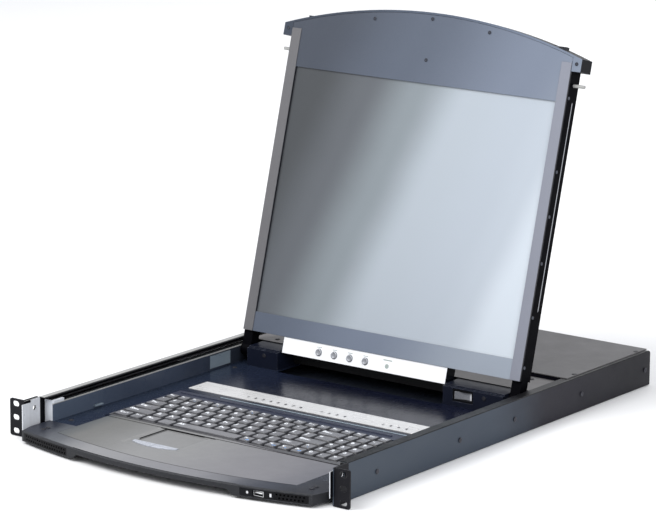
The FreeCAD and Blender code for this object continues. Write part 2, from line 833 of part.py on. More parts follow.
def make_rear_ports():
    """Two D-shaped sockets with their jack screws, standing out of the rear panel."""
    units = []
    face = "chassis_depth"
    outside = f"{face} + port_proud"
    wide, narrow, tall = "port_wide / 2", "port_narrow / 2", "port_tall / 2"
    for index, left in enumerate(PORT_PLACES):
        middle = f"{left} + port_width / 2"
        flange = box(f"port_flange{index}",
                     (f"{left} - port_flange", f"{left} + port_width + port_flange"),
                     (face, f"{face} + port_flange_sheet"),
                     ("port_bottom - port_brow", "port_top + port_brow"))
        shell = prism(f"port_shell{index}", "XZ_Plane", (
            (f"{middle} - {wide}", tall), (f"{middle} - {narrow}", f"-{tall}"),
            (f"{middle} + {narrow}", f"-{tall}"), (f"{middle} + {wide}", tall)),
            f"{face} - port_inside", outside)
        nuts = [cylinder(f"port_nut{index}_{side}", "y", "jack_radius",
                         f"{middle} + {side} * jack_spread", (f"{face} - jack_seat", outside), 0)
                for side in (-1, 1)]
        units.append(fuse(f"port_unit{index}", flange, shell, *nuts))
    node("rear_ports", group("ports", *units))


def make_boards():
    """Main board on four pillars with its main chips, and the boxed power supply."""
    left, right = "board_left_edge", "board_right_edge"
    board = box("board_plate", (left, right), ("board_start", "board_end"),
                ("board_level", "board_surface"))
    pillars = [cylinder(f"board_pillar{x}_{y}", "z", "pillar_radius", x, y,
                        ("floor_top", "board_level"))
               for x in (f"{left} + pillar_inset", f"{right} - pillar_inset")
               for y in ("board_start + pillar_inset", "board_end - pillar_inset")]
    chips = []
    for index in range(4):
        start = f"{left} + chip_first + {index} * chip_pitch"
        chips.append(box(f"board_chip{index}", (start, f"{start} + chip_side"),
                         ("chip_start", "chip_start + chip_side"),
                         ("board_surface", "board_surface + chip_height")))
    node("main_board", fuse("board_unit", board, *pillars, *chips))
    node("power_supply", box("supply_box", ("supply_left", "supply_right"),
                             ("board_start", "chassis_depth - inlet_depth - supply_gap"),
                             ("floor_top", "chassis_top - chassis_sheet - supply_headroom")))


def make_chassis_screws():
    """Heads that hold the slides, the ears, the rear box and the cover."""
    heads = []
    cover = "chassis_top + cover_sheet"
    for side in (-1, 1):
        for index, along in enumerate(WALL_SCREWS):
            heads.append(cylinder(f"wall_screw{side}_{index}", "x", "screw_radius",
                                  side_head(side, "half_chassis", "screw_height"), along,
                                  "wall_screw_level"))
        for index, along in enumerate(("rear_box_start + rear_screw_inset",
                                       "chassis_depth - rear_screw_inset")):
            heads.append(cylinder(f"cover_screw{side}_{index}", "z", "screw_radius",
                                  f"{side} * (half_chassis - cover_screw_inset)", along,
                                  (cover, f"{cover} + screw_height / 2")))
    for index, share in enumerate((-1, 0, 1)):
        heads.append(cylinder(f"rear_screw{index}", "y", "screw_radius",
                              f"{share} * (half_chassis - rear_screw_inset)",
                              ("chassis_depth", "chassis_depth + screw_height"),
                              "chassis_top - rear_screw_drop"))
    node("chassis_screws", group("chassis_screw_set", *heads))


def side_head(side, face, height):
    """Span across X of a screw head that stands out of a side face."""
    return (face, f"{face} + {height}") if side > 0 else (f"-({face}) - {height}", f"-({face})")


# Drawer ---------------------------------------------------------------------------------------

def make_drawer_tray():
    """Folded pan with side walls, a rear wall and a floor that runs under the palm rest."""
    half = "half_drawer"
    inside = "drawer_inside"
    pan = prism("pan", "XZ_Plane", (
        (f"-{half}", "drawer_bottom"), (half, "drawer_bottom"), (half, "wall_top"),
        (inside, "wall_top"), (inside, "drawer_floor"), (f"-{inside}", "drawer_floor"),
        (f"-{inside}", "wall_top"), (f"-{half}", "wall_top")), "wall_start", "drawer_end")
    rear = box("pan_rear", (f"-{inside}", inside), ("drawer_end - drawer_sheet", "drawer_end"),
               ("drawer_floor", "wall_top"))
    lip = box("pan_lip", (f"-{half}", half), ("floor_front", "wall_start"),
              ("drawer_bottom", "drawer_floor"))
    walls = {side: (f"{side} * half_drawer - wall_cut", f"{side} * half_drawer + wall_cut")
             for side in (-1, 1)}
    windows = [box(f"pan_window{side}", walls[side],
                   ("window_start", "window_start + window_length"),
                   ("window_bottom", "wall_top - window_rim")) for side in walls]
    releases = [box(f"pan_release{side}", walls[side],
                    ("release_start - fit_gap", "release_start + release_length + fit_gap"),
                    ("release_bottom - fit_gap", "release_bottom + release_sheet + fit_gap"))
                for side in walls]
    passage = box("pan_passage", ("passage_left", "passage_left + passage_width"),
                  ("drawer_end - wall_cut", "drawer_end + over"),
                  ("drawer_floor + passage_rise", "drawer_floor + passage_rise + passage_height"))
    node("drawer_tray", cut("tray", fuse("pan_body", pan, rear, lip), *windows, *releases, passage))


def make_deck_plate():
    """Inner deck folded down at both sides onto the tray's floor, open round the keyboard."""
    inside = "drawer_inside"
    sheet_inside = "drawer_inside - deck_sheet"
    shell = prism("deck", "XZ_Plane", (
        (inside, "drawer_floor"), (inside, "deck_top"), (f"-{inside}", "deck_top"),
        (f"-{inside}", "drawer_floor"), (f"-({sheet_inside})", "drawer_floor"),
        (f"-({sheet_inside})", "deck_under"), (sheet_inside, "deck_under"),
        (sheet_inside, "drawer_floor")), "wall_start", "drawer_end - drawer_sheet")
    deep = ("drawer_floor - over", "deck_top + over")
    board = prism("deck_keyboard_hole", "XY_Plane", keyboard_corners("fit_gap"), *deep)
    palm = box("deck_palm_hole", ("-palm_half_width - fit_gap", "palm_half_width + fit_gap"),
               ("wall_start - over", "bulge_front"), deep)
    middle = prism("deck_palm_step", "XY_Plane", (
        ("-palm_half_width - fit_gap", "bulge_front - over"), ("bulge_end", "bulge_front - over"),
        ("bulge_end", "bulge_front"), ("bulge_start", "board_front + fit_gap"),
        ("-palm_half_width - fit_gap", "board_front + fit_gap")), *deep)
    well = box("deck_hinge_well",
               ("well_margin - left_block_inner", "right_block_inner - well_margin"),
               ("block_start - well_lead", "drawer_end"), deep)
    node("deck_plate", cut("deck_cut", shell, board, palm, middle, well))


def make_front_handle():
    """Bowed front moulding with a finger hold below its pull bar."""
    half = "handle_half_width"
    corner = "handle_corner"
    block = prism("handle", "XY_Plane", (
        (f"-{half}", "wall_start"), (f"-{half}", "0"), (f"-{corner}", "bow_corner"),
        (f"-{corner}", "-bow_front"), (corner, "-bow_front"), (corner, "bow_corner"),
        (half, "0"), (half, "wall_start")), "drawer_bottom", "deck_top")
    bow = bowed("handle_bow", block, "bow_radius", "bow_centre")
    floor_space = box("handle_floor_space", ("-half_drawer - fit_gap", "half_drawer + fit_gap"),
                      ("floor_front - fit_gap", "wall_start + over"), ("drawer_bottom - over", "drawer_floor"))
    hold = prism("handle_hold", "XZ_Plane", (
        ("-bar_half_width - bar_slant", "drawer_bottom - over"), ("-bar_half_width", "bar_bottom"),
        ("bar_half_width", "bar_bottom"), ("bar_half_width + bar_slant", "drawer_bottom - over")),
        "-bow_front - over", "bar_depth - bow_front")
    hollows = [ring_sector(f"handle_hollow{side}", side, "grille_start - fit_gap",
                           "grille_end + fit_gap", "bow_radius + over", "bow_radius - grille_depth",
                           "grille_bottom - fit_gap", "grille_top + fit_gap") for side in (-1, 1)]
    palm = bowed("handle_palm_space",
                 box("handle_palm_block", ("-palm_half_width - fit_gap", "palm_half_width + fit_gap"),
                     ("-bow_front", "wall_start + over"), ("drawer_bottom - over", "deck_top + over")),
                 "palm_radius + fit_gap", "bow_centre")
    grooves = [ring_sector(f"bar_groove{side}", side, "0", "bar_half_width + bar_slant",
                           "bow_radius - bar_edge", "bow_radius - bar_edge - bar_groove",
                           "deck_top - bar_groove_depth", "deck_top + over") for side in (-1, 1)]
    node("front_handle", cut("handle_cut", bow, floor_space, hold, palm, *hollows, *grooves))


def ring_sector(name, side, start, end, outside, inside, bottom, top):
    """Part of a ring about the bow's centre between two distances from the middle plane."""
    outer = cylinder(name + "_outer", "z", outside, 0, "bow_centre", (bottom, top))
    inner = cylinder(name + "_inner", "z", inside, 0, "bow_centre",
                     (f"{bottom} - over", f"{top} + over"))
    low, high = (start, end) if side > 0 else (f"-({end})", f"-({start})")
    span = box(name + "_span", (low, high), ("-bow_front - 10", "0"), (bottom, top))
    return common(name, cut(name + "_ring", outer, inner), span)


def grille(name, side, start):
    """Bowed plate pierced by two staggered rows of square holes."""
    plate = ring_sector(name + "_plate", side, f"{start}", "grille_end", "bow_radius",
                        "bow_radius - grille_sheet", "grille_bottom", "grille_top")
    columns = int(value("grille_columns"))
    pitch = "(grille_end - grille_start) / grille_columns"
    first = "grille_start + grille_lead"
    tools = []
    for index in range(columns):
        for row, level in enumerate(("0.27", "0.73")):
            across = f"{first} + ({pitch}) * {index + 0.35 + 0.3 * row}"
            if value(across) < value(f"{start} + grille_hole") or (
                    value(across) > value("grille_end - grille_hole")):
                continue
            middle = f"{side} * ({across})"
            up = f"grille_bottom + grille_height * {level}"
            half = "grille_hole / 2"
            tools.append(box(f"{name}_hole{index}_{row}", (f"{middle} - {half}", f"{middle} + {half}"),
                             ("-bow_front - over", "0"), (f"{up} - {half}", f"{up} + {half}")))
    node(name, cut(name + "_cut", plate, *tools))


def make_front_ports():
    """Bowed panel beside the right grille with a USB socket, a lamp and a reset button."""
    plate = ring_sector("port_plate", 1, "grille_start", "port_end - fit_gap", "bow_radius",
                        "bow_radius - port_sheet", "grille_bottom", "grille_top")
    level = "(grille_bottom + grille_top) / 2"
    half = "usb_width / 2"
    tall = "usb_height / 2"
    front = "usb_front"
    shell_x = (f"usb_place - {half}", f"usb_place + {half}")
    shell_z = (f"{level} - {tall}", f"{level} + {tall}")
    hole = box("port_hole", (f"{shell_x[0]} - fit_gap", f"{shell_x[1]} + fit_gap"),
               ("-bow_front - over", "0"), (f"{shell_z[0]} - fit_gap", f"{shell_z[1]} + fit_gap"))
    lamp_hole = cylinder("port_lamp_hole", "y", "led_radius + fit_gap / 2", "led_place",
                         ("-bow_front - over", "0"), level)
    reset_hole = box("port_reset_hole",
                     ("reset_place - reset_half_width", "reset_place + reset_half_width"),
                     ("-bow_front - over", "0"),
                     (f"{level} - reset_half_height", f"{level} + reset_half_height"))
    shell = box("usb_shell", shell_x, (front, f"{front} + usb_depth"), shell_z)
    hollow = box("usb_hollow", (f"{shell_x[0]} + usb_wall", f"{shell_x[1]} - usb_wall"),
                 (f"{front} - over", f"{front} + usb_depth - over"),
                 (f"{shell_z[0]} + usb_wall", f"{shell_z[1]} - usb_wall"))
    lamp = cylinder("port_lamp", "y", "led_radius", "led_place",
                    (f"{front} - led_seat", f"{front} + led_tail"), level)
    reset = box("port_reset", ("reset_place - reset_half_width + fit_gap",
                               "reset_place + reset_half_width - fit_gap"),
                (f"{front} + reset_half_height", f"{front} + reset_half_height + reset_tail"),
                (f"{level} - reset_half_height + fit_gap",
                 f"{level} + reset_half_height - fit_gap"))
    panel = cut("port_panel", plate, hole, lamp_hole, reset_hole)
    node("front_ports", group("port_set", panel, cut("usb_socket", shell, hollow), lamp, reset))


def make_end_plates():
    """Bright plates on the front ends of the tray's walls, hooked over the wall tops."""
    plate = box("end_plate", ("half_drawer", "bracket_inside - fit_gap"),
                ("wall_start", "wall_start + drawer_sheet"), ("end_plate_bottom", "end_plate_top"))
    hook = box("end_hook", ("drawer_inside - hook_inside", "half_drawer + hook_outside"),
               ("wall_start", "wall_start + hook_length"), ("wall_top", "end_plate_top"))
    right = fuse("end_plate_right", plate, hook)
    node("end_plates", group("end_plate_pair", right, mirror("end_plate_left", right)))


def make_palm_rest():
    """Moulded shell between the bow and the keyboard, dished round the touchpad."""
    left, right = "-palm_half_width", "palm_half_width"
    block = palm_shape("palm_outer", left, right, "palm_radius", "0", "drawer_floor", "deck_top")
    hollow = palm_shape("palm_inner", f"{left} + palm_sheet", f"{right} - palm_sheet",
                        "palm_radius - palm_sheet", "palm_sheet", "drawer_floor - over",
                        "deck_top - palm_sheet")
    pad = box("palm_pad_hole", ("pad_left - fit_gap", "pad_left + pad_width + fit_gap"),
              ("pad_front - fit_gap", "pad_front + pad_depth + fit_gap"),
              ("drawer_floor", "deck_top + over"))
    clicks = click_shape("palm_click_hole", "click_left - fit_gap", "click_right + fit_gap",
                         "fit_gap", "drawer_floor", "deck_top + over")
    dish = tapered("palm_dish", ("dish_left", "dish_right"), ("dish_front", "dish_back"),
                   ("deck_top", "deck_top - dish_depth"), "dish_slope", ("dish_slope", "dish_slope"))
    node("palm_rest", cut("palm_cut", block, hollow, pad, clicks, dish))


def palm_shape(name, left, right, radius, inset, bottom, top):
    """Palm rest outline: an arc in front, and behind it the keyboard's front edge."""
    plan = prism(name + "_plan", "XY_Plane", (
        (left, "-bow_front"), (right, "-bow_front"), (right, f"bulge_front - {inset}"),
        ("bulge_end", f"bulge_front - {inset}"), ("bulge_start", f"board_front - {inset}"),
        (left, f"board_front - {inset}")), bottom, top)
    return bowed(name, plan, radius, "bow_centre")


def click_shape(name, left, right, play, bottom, top):
    """Plate below the touchpad with a bowed front edge, grown by a play."""
    plate = box(name + "_plate", (left, right), (f"click_front - {play}", f"click_back + {play}"),
                (bottom, top))
    arc = cylinder(name + "_arc", "z", f"click_radius + {play}", "(click_left + click_right) / 2",
                   "click_front + click_radius", (bottom, top))
    return common(name, plate, arc)


def tapered(name, x, y, z, slope, y_slopes):
    """Block over the x and y spans at its first z, drawn in by the slopes at its second z."""
    down = value(z[1]) < value(z[0])
    item = document.addObject("Part::Wedge", name)
    item.Placement = FreeCAD.Placement(
        FreeCAD.Vector(), FreeCAD.Rotation(FreeCAD.Vector(1, 0, 0), -90 if down else 90))
    wide = f"({x[1]}) - ({x[0]})"
    deep = f"({y[1]}) - ({y[0]})"
    low, high = ("0", deep) if down else (f"-({deep})", "0")
    near, far = y_slopes if down else reversed(y_slopes)
    for side, text in (("Xmin", "0"), ("Xmax", wide), ("X2min", slope), ("X2max", f"{wide} - {slope}"),
                       ("Ymin", "0"), ("Ymax", f"abs({z[1]} - ({z[0]}))"),
                       ("Zmin", low), ("Zmax", high),
                       ("Z2min", f"{low} + {near}"), ("Z2max", f"{high} - {far}")):
        bind(item, side, text)
    return place(item, x[0], y[0], z[0])


def keyboard_corners(play="0"):
    """Corners of the keyboard's outline, which comes further forward at its right."""
    return (
        (f"board_left - {play}", "board_front + fit_gap"), ("bulge_start", "board_front + fit_gap"),
        ("bulge_end", "bulge_front + fit_gap"), (f"board_right + {play}", "bulge_front + fit_gap"),
        (f"board_right + {play}", f"board_back + {play}"),
        (f"board_left - {play}", f"board_back + {play}"))


def make_keyboard():
    """Keyboard base with a groove under each row, and the frame round the keys."""
    base = prism("keyboard_block", "XY_Plane", keyboard_corners(), "drawer_floor",
                 "keyboard_base_top")
    grooves = [box(f"keyboard_groove{index}", ("keys_left + groove_inset", "keys_right - groove_inset"),
                   stem_span(front, depth, "fit_gap"),
                   ("keyboard_base_top - groove_depth", "keyboard_base_top + over"))
               for index, (front, depth) in enumerate(row_places())]
    node("keyboard_base", cut("keyboard_base_cut", base, *grooves))
    frame = prism("keyboard_frame", "XY_Plane", keyboard_corners(), "keyboard_base_top",
                  "deck_top + bezel_rise")
    keys = box("keyboard_opening", ("keys_left - fit_gap", "keys_right + fit_gap"),
               ("keys_front + key_gap / 2 - fit_gap", "keys_back + fit_gap"),
               ("keyboard_base_top - over", "deck_top + bezel_rise + over"))
    rib = box("keyboard_rib", ("board_left + rib_left", "board_right - rib_right"),
              ("board_back - rib_setback", "board_back - rib_setback + rib_width"),
              ("deck_top", "deck_top + bezel_rise + rib_height"))
    node("keyboard_bezel", cut("keyboard_bezel_cut", fuse("keyboard_frame_body", frame, rib), keys))


def row_places():
    """Front edge and depth of the six key rows, from front to back."""
    places = [(f"keys_front + {index} * row_pitch", "row_pitch") for index in range(len(KEY_ROWS))]
    return places + [("function_front", "function_depth")]


def stem_span(front, depth, play):
    """Span of a row's key stems along Y, widened by a play."""
    middle = f"{front} + ({depth}) / 2"
    return (f"{middle} - key_stem / 2 - {play}", f"{middle} + key_stem / 2 + {play}")


def key_cap(name, left, width, front, depth):
    """Tapered key cap with the stem below it that runs in its row's groove."""
    cap = tapered(name, (f"{left} + key_gap / 2", f"{left} + ({width}) - key_gap / 2"),
                  (f"{front} + key_gap / 2", f"{front} + ({depth}) - key_gap / 2"),
                  ("key_bottom", "key_top"), "key_taper", ("key_taper", "key_taper / 2"))
    middle = f"{left} + ({width}) / 2"
    stem = box(name + "_stem", (f"{middle} - key_stem / 2", f"{middle} + key_stem / 2"),
               stem_span(front, depth, "0"), ("keyboard_base_top - stem_seat", "key_bottom"))
    return fuse(name + "_whole", cap, stem)


def make_key_rows():
    """Six rows of keys, the front five with three side columns."""
    for index, (name, widths) in enumerate(KEY_ROWS.items()):
        front = f"keys_front + {index} * row_pitch"
        lefts = [f"keys_left + {sum(widths[:number])} * key_pitch" for number in range(len(widths))]
        caps = [key_cap(f"{name}{number}", left, f"{width} * key_pitch", front, "row_pitch")
                for number, (left, width) in enumerate(zip(lefts, widths))]
        caps += [key_cap(f"{name}_side{number}", f"side_left + {number} * side_pitch",
                         "side_pitch", front, "row_pitch") for number in range(SIDE_COLUMNS)]
        node(name, group(name + "_set", *caps))
    width = f"(keys_right - keys_left) / {FUNCTION_KEYS}"
    caps = [key_cap(f"function_key{number}", f"keys_left + {number} * {width}", width,
                    "function_front", "function_depth") for number in range(FUNCTION_KEYS)]
    node("function_row_keys", group("function_row_set", *caps))


def make_touchpad():
    """Touchpad module on the floor, and its two click plates."""
    shelf = "click_bottom - click_travel - fit_gap"
    stand = box("pad_stand", ("click_left - pad_border", "pad_left + pad_width + pad_border"),
                ("click_front - pad_border", "pad_front + pad_depth + pad_border"),
                ("drawer_floor", shelf))
    pad = box("pad_plate", ("pad_left", "pad_left + pad_width"),
              ("pad_front", "pad_front + pad_depth"), (shelf, "deck_top - dish_depth - pad_sink"))
    node("touchpad", fuse("pad_unit", stand, pad))
    middle = "(click_left + click_right) / 2"
    for side, low, high in (("left", "click_left", f"{middle} - fit_gap"),
                            ("right", f"{middle} + fit_gap", "click_right")):
        node(f"touchpad_button_{side}", click_shape(f"click_{side}", low, high, "0",
                                                    "click_bottom", "click_bottom + click_height"))


def make_port_strip():
    """Bright strip across the deck with four small lamps at its right end."""
    strip = box("strip_plate", ("board_left", "board_right"),
                ("strip_start", "strip_start + strip_depth"), ("deck_top", "deck_top + strip_sheet"))
    lamps = [cylinder(f"strip_lamp{index}", "z", "lamp_radius",
                      f"board_right - lamp_inset - {index} * lamp_pitch",
                      "strip_start + strip_depth / 2",
                      ("deck_top + strip_sheet", "deck_top + strip_sheet + lamp_height"))
             for index in range(4)]
    node("port_strip", fuse("strip_unit", strip, *lamps))


def hinge_block(name, inner, outer):
    """Housing beside a hinge arm: a hollow moulding with a stepped top edge."""
    start, end = "block_start", "drawer_end - drawer_sheet"
    top = "block_top"
    return prism(name, "YZ_Plane", (
        (start, "deck_top"), (end, "deck_top"), (end, top), ("rear_deck_start", top),
        (f"{start} + block_step_depth", top), (f"{start} + block_step_depth", f"{top} - block_step"),
        (start, f"{top} - block_step")), inner, outer)


def make_hinge_blocks():
    """Left block, and the right one with the pocket of the power switch."""
    node("hinge_block_left", hinge_block("block_left", "-block_outer", "-left_block_inner"))
    pocket = box("switch_pocket", switch_span("switch_width / 2 + switch_frame"),
                 ("block_start - over", "block_start + pocket_depth"),
                 ("switch_low - switch_frame", "switch_high + switch_frame"))
    node("hinge_block_right", cut("block_right_cut",
                                  hinge_block("block_right", "right_block_inner", "block_outer"),
                                  pocket))
    frame = box("switch_frame_block", switch_span("switch_width / 2 + switch_frame - fit_gap"),
                ("block_start + frame_sink", "block_start + pocket_depth - fit_gap"),
                ("switch_low - switch_frame + fit_gap", "switch_high + switch_frame - fit_gap"))
    mouth = box("switch_mouth", switch_span("switch_width / 2 + rocker_play"),
                ("block_start", "block_start + mouth_depth"),
                ("switch_low - fit_gap", "switch_high + fit_gap"))
    node("switch_frame", cut("switch_frame_cut", frame, mouth))


def switch_span(reach):
    """Span across X of something centred on the power switch."""
    return (f"switch_place - ({reach})", f"switch_place + ({reach})")


def make_power_rocker():
    """Rocker with two pressing faces that meet in a shallow valley."""
    half = "switch_width / 2"
    plan = prism("rocker", "XY_Plane", (
        (f"-({half})", "-rocker_end"), ("0", "-rocker_valley"), (half, "-rocker_end"),
        (f"{half} - rocker_draw", "rocker_shoulder"), ("0", "rocker_back"),
        (f"rocker_draw - {half}", "rocker_shoulder")), "-switch_thickness / 2",
        "switch_thickness / 2")
    turned = group("rocker_turned", plan)
    turned.Placement = FreeCAD.Placement(
        FreeCAD.Vector(), FreeCAD.Rotation(FreeCAD.Vector(0, 0, 1), value("switch_angle")))
    bind(turned, "Placement.Rotation.Angle", "switch_angle")
    node("power_rocker", place(turned, "switch_place", "block_start + rocker_setback", "switch_height"))


def make_rear_deck():
    """Top plate of the drawer's rear part, on the blocks and the rear wall."""
    half = "drawer_inside - fit_gap"
    plate = box("rear_deck_plate", (f"-({half})", half), ("rear_deck_start", "drawer_end - fit_gap"),
                ("rear_deck_top - rear_deck_sheet", "rear_deck_top"))
    skirt = box("rear_deck_skirt", ("fit_gap - left_block_inner", "right_block_inner - fit_gap"),
                ("rear_deck_start", "rear_deck_start + rear_deck_sheet"),
                ("drawer_floor + skirt_rise", "rear_deck_top"))
    node("rear_deck", fuse("rear_deck_unit", plate, skirt))


def make_hinge_pins():
    """Pins between each block and the tray's wall, on which the lid turns."""
    right = cylinder("hinge_pin", "x", "hinge_pin_radius", ("block_outer", "drawer_inside"),
                     "hinge_setback", "hinge_height")
    node("hinge_pins", group("hinge_pin_pair", right, mirror("hinge_pin_left", right)))


def make_drawer_screws():
    """Screw heads on the blocks, the deck and the rear deck."""
    heads = []
    for side in (-1, 1):
        heads.append(cylinder(f"block_screw{side}", "y", "block_screw_radius",
                              f"{side} * (block_outer - block_screw_inset)",
                              ("block_start - deck_head", "block_start"), "hinge_height"))
        for index, along in enumerate(("rear_deck_start + rear_deck_screw_inset",
                                       "drawer_end - rear_deck_screw_inset")):
            heads.append(cylinder(f"rear_deck_screw{side}_{index}", "z", "screw_radius",
                                  f"{side} * (block_outer - rear_deck_screw_inset)", along,
                                  ("rear_deck_top", "rear_deck_top + deck_head")))
        for index, along in enumerate(DECK_SCREWS):
            heads.append(cylinder(f"deck_screw{side}_{index}", "z", "screw_radius",
                                  f"{side} * (drawer_inside - deck_screw_inset)", along,
                                  ("deck_top", "deck_top + deck_head")))
    node("drawer_screws", group("drawer_screw_set", *heads))


# Lid ------------------------------------------------------------------------------------------

def lid_arc(name, item, radius):
    """Trim a lid piece to the bow of its top edge."""
    arc = cylinder(name + "_arc", "y", radius, 0, ("-lid_front - 5", "lid_back_face + 5"),
                   "lid_bow_centre")
    return common(name, item, arc)


def make_lid_back():
    """Rear pan of the lid with its side and bottom walls, open at its top."""
    outer = box("lid_pan", ("-half_lid", "half_lid"), ("bezel_back_face", "lid_back_face"),
                ("lid_bottom", "lid_shell_top"))
    hollow = box("lid_pan_hollow", ("lid_sheet - half_lid", "half_lid - lid_sheet"),
                 ("bezel_back_face - over", "lid_back_face - lid_sheet"),
                 ("lid_bottom + lid_sheet", "lid_shell_top + over"))
    holes = cylinder("lid_pin_holes", "x", "pin_radius + button_play",
                     ("-half_lid - over", "half_lid + over"), "pin_offset", "pin_level")
    node("lid_back", lean(cut("lid_back_cut", outer, hollow, holes)))


def make_lid_bezel():
    """Front frame of the lid, bowed at its top and open at the screen."""
    plate = lid_arc("bezel_plate", box("bezel_block", ("-half_lid", "half_lid"),
                                       ("-lid_front", "bezel_back_face"),
                                       ("lid_bottom", "lid_bow_top")),
                    "bow_radius - bezel_inset")
    screen = box("bezel_window", ("-half_screen", "half_screen"),
                 ("-lid_front - over", "bezel_back_face + over"), ("screen_bottom", "screen_top"))
    node("lid_bezel", lean(cut("bezel_cut", plate, screen)))


def make_lcd_panel():
    """Screen module against the back of the bezel."""
    panel = box("lcd_block", ("-half_screen - panel_overlap", "half_screen + panel_overlap"),
                ("bezel_back_face", "bezel_back_face + panel_thickness"),
                ("screen_bottom - panel_overlap", "screen_top + panel_overlap"))
    node("lcd_panel", lean(panel))


def make_side_trims():
    """Proud strips down both sides of the bezel."""
    right = box("trim_strip", ("half_lid - trim_width", "half_lid"),
                ("-lid_front - trim_sheet", "-lid_front"), ("lid_bottom", "lid_shell_top"))
    node("lid_side_trims", lean(group("trim_pair", right, mirror("trim_left", right))))


def make_upper_handle():
    """Bowed cap along the lid's top edge, hollow, with the slots of the latch catches."""
    wide = "cap_half_width"
    narrow = "half_lid"
    block = prism("cap", "XZ_Plane", (
        (f"-{wide}", "cap_bottom"), (f"-{narrow}", "cap_bottom"), (f"-{narrow}", "lid_shell_top"),
        (narrow, "lid_shell_top"), (narrow, "cap_bottom"), (wide, "cap_bottom"),
        (wide, "lid_bow_top"), (f"-{wide}", "lid_bow_top")), "-lid_front", "lid_back_face")
    bow = lid_arc("cap_bow", block, "bow_radius")
    seat = lid_arc("cap_seat", box("cap_seat_block", ("-half_lid - fit_gap", "half_lid + fit_gap"),
                                   ("-lid_front - over", "bezel_back_face"),
                                   ("cap_bottom - over", "lid_bow_top")),
                   "bow_radius - bezel_inset + fit_gap")
    hollow = lid_arc("cap_hollow", box("cap_hollow_block", ("cap_wall - half_lid", "half_lid - cap_wall"),
                                       ("bezel_back_face - over", "lid_back_face - cap_wall"),
                                       ("lid_shell_top - over", "lid_bow_top")),
                     "bow_radius - bezel_inset - cap_wall")
    slots = [box(f"cap_slot{side}", catch_span(side, "fit_gap + (1 + {0}) * latch_throw / 2"
                                               " + (1 - {0}) * latch_pull / 2"),
                 ("pin_offset - catch_thickness / 2 - fit_gap",
                  "pin_offset + catch_thickness / 2 + fit_gap"),
                 ("lid_shell_top", "lid_bow_top")) for side in (-1, 1)]
    node("upper_handle", lean(cut("cap_cut", bow, seat, hollow, *slots)))


def catch_span(side, reach):
    """Span across X of a latch catch, widened outwards and inwards by a reach of +1 and -1."""
    inner = f"pin_inner - ({reach.format(-1)})"
    outer = f"pin_inner + catch_width + ({reach.format(1)})"
    return (inner, outer) if side > 0 else (f"-({outer})", f"-({inner})")


def make_latch_pins():
    """Sprung pins in the lid's sides, each with the finger catch that draws it in."""
    pin = cylinder("latch_pin", "x", "pin_radius", ("pin_inner", "pin_tip"), "pin_offset", "pin_level")
    rise = "lid_bow_centre + sqrt(bow_radius^2 - (pin_inner + catch_width / 2)^2)"
    catch = box("latch_catch", ("pin_inner", "pin_inner + catch_width"),
                ("pin_offset - catch_thickness / 2", "pin_offset + catch_thickness / 2"),
                ("pin_level - pin_radius", f"{rise} + catch_proud"))
    right = fuse("latch_pin_whole", pin, catch)
    node("latch_pin_right", lean(right))
    node("latch_pin_left", lean(mirror("latch_pin_mirror", right)))


def make_control_strip():
    """Housing below the bezel with bores for its four buttons."""
    block = box("control_block", ("control_left", "control_right"),
                ("-control_front", "control_back"), ("control_bottom", "lid_bottom"))
    bores = [cylinder(f"control_bore{index}", "y", "button_radius + button_play", button_place(index),
                      ("-control_front - over", "bore_depth - control_front + button_travel"),
                      "button_level") for index in range(4)]
    node("control_strip", lean(cut("control_cut", block, *bores)))
    for index in range(4):
        button = cylinder(f"control_button{index}", "y", "button_radius", button_place(index),
                          ("-control_front - button_proud", "bore_depth - control_front - fit_gap"),
                          "button_level")
        node(f"control_button_{index + 1}", lean(button))


def button_place(index):
    """Place across X of a control button."""
    return f"button_first + {index} * button_pitch"


def make_hinge_arms():
    """Arms below the lid with a knuckle round each hinge pin."""
    knuckle = cylinder("arm_knuckle", "x", "knuckle_radius", ("arm_inner", "arm_outer"), 0, 0)
    leg = box("arm_leg", ("arm_inner", "arm_outer"), ("-0.75 * knuckle_radius", "knuckle_radius"),
              ("0", "lid_bottom"))
    bore = cylinder("arm_bore", "x", "hinge_pin_radius + hinge_play",
                    ("arm_inner - over", "arm_outer + over"), 0, 0)
    right = cut("arm_right", fuse("arm_body", knuckle, leg), bore)
    node("hinge_arms", lean(group("arm_pair", right, mirror("arm_left", right))))


def make_lid_screws():
    """Screw heads on the bezel's top, the cap's ears and the lid's sides."""
    heads = []
    front = "-lid_front"
    across = "bezel_screw_place"
    for index, (place_x, level) in enumerate((
            (f"-{across}", "lid_bow_top - bezel_screw_drop"), ("0", "lid_bow_top - centre_screw_drop"),
            (across, "lid_bow_top - bezel_screw_drop"), ("0", "pin_level + lower_screw_rise"),
            ("cap_screw_inset - cap_half_width", "cap_bottom + cap_screw_rise"),
            ("cap_half_width - cap_screw_inset", "cap_bottom + cap_screw_rise"))):
        heads.append(cylinder(f"bezel_screw{index}", "y", "bezel_screw_radius", place_x,
                              (f"{front} - thin_head", front), level))
    foot = "lid_bottom + side_screw_foot"
    for side in (-1, 1):
        for index, share in enumerate(LID_SCREW_SHARES):
            heads.append(cylinder(f"lid_side_screw{side}_{index}", "x", "side_screw_radius",
                                  side_head(side, "half_lid", "thin_head"),
                                  "side_screw_depth - lid_front",
                                  f"{foot} + {share} * (lid_shell_top - {foot})"))
    node("lid_screws", lean(group("lid_screw_set", *heads)))


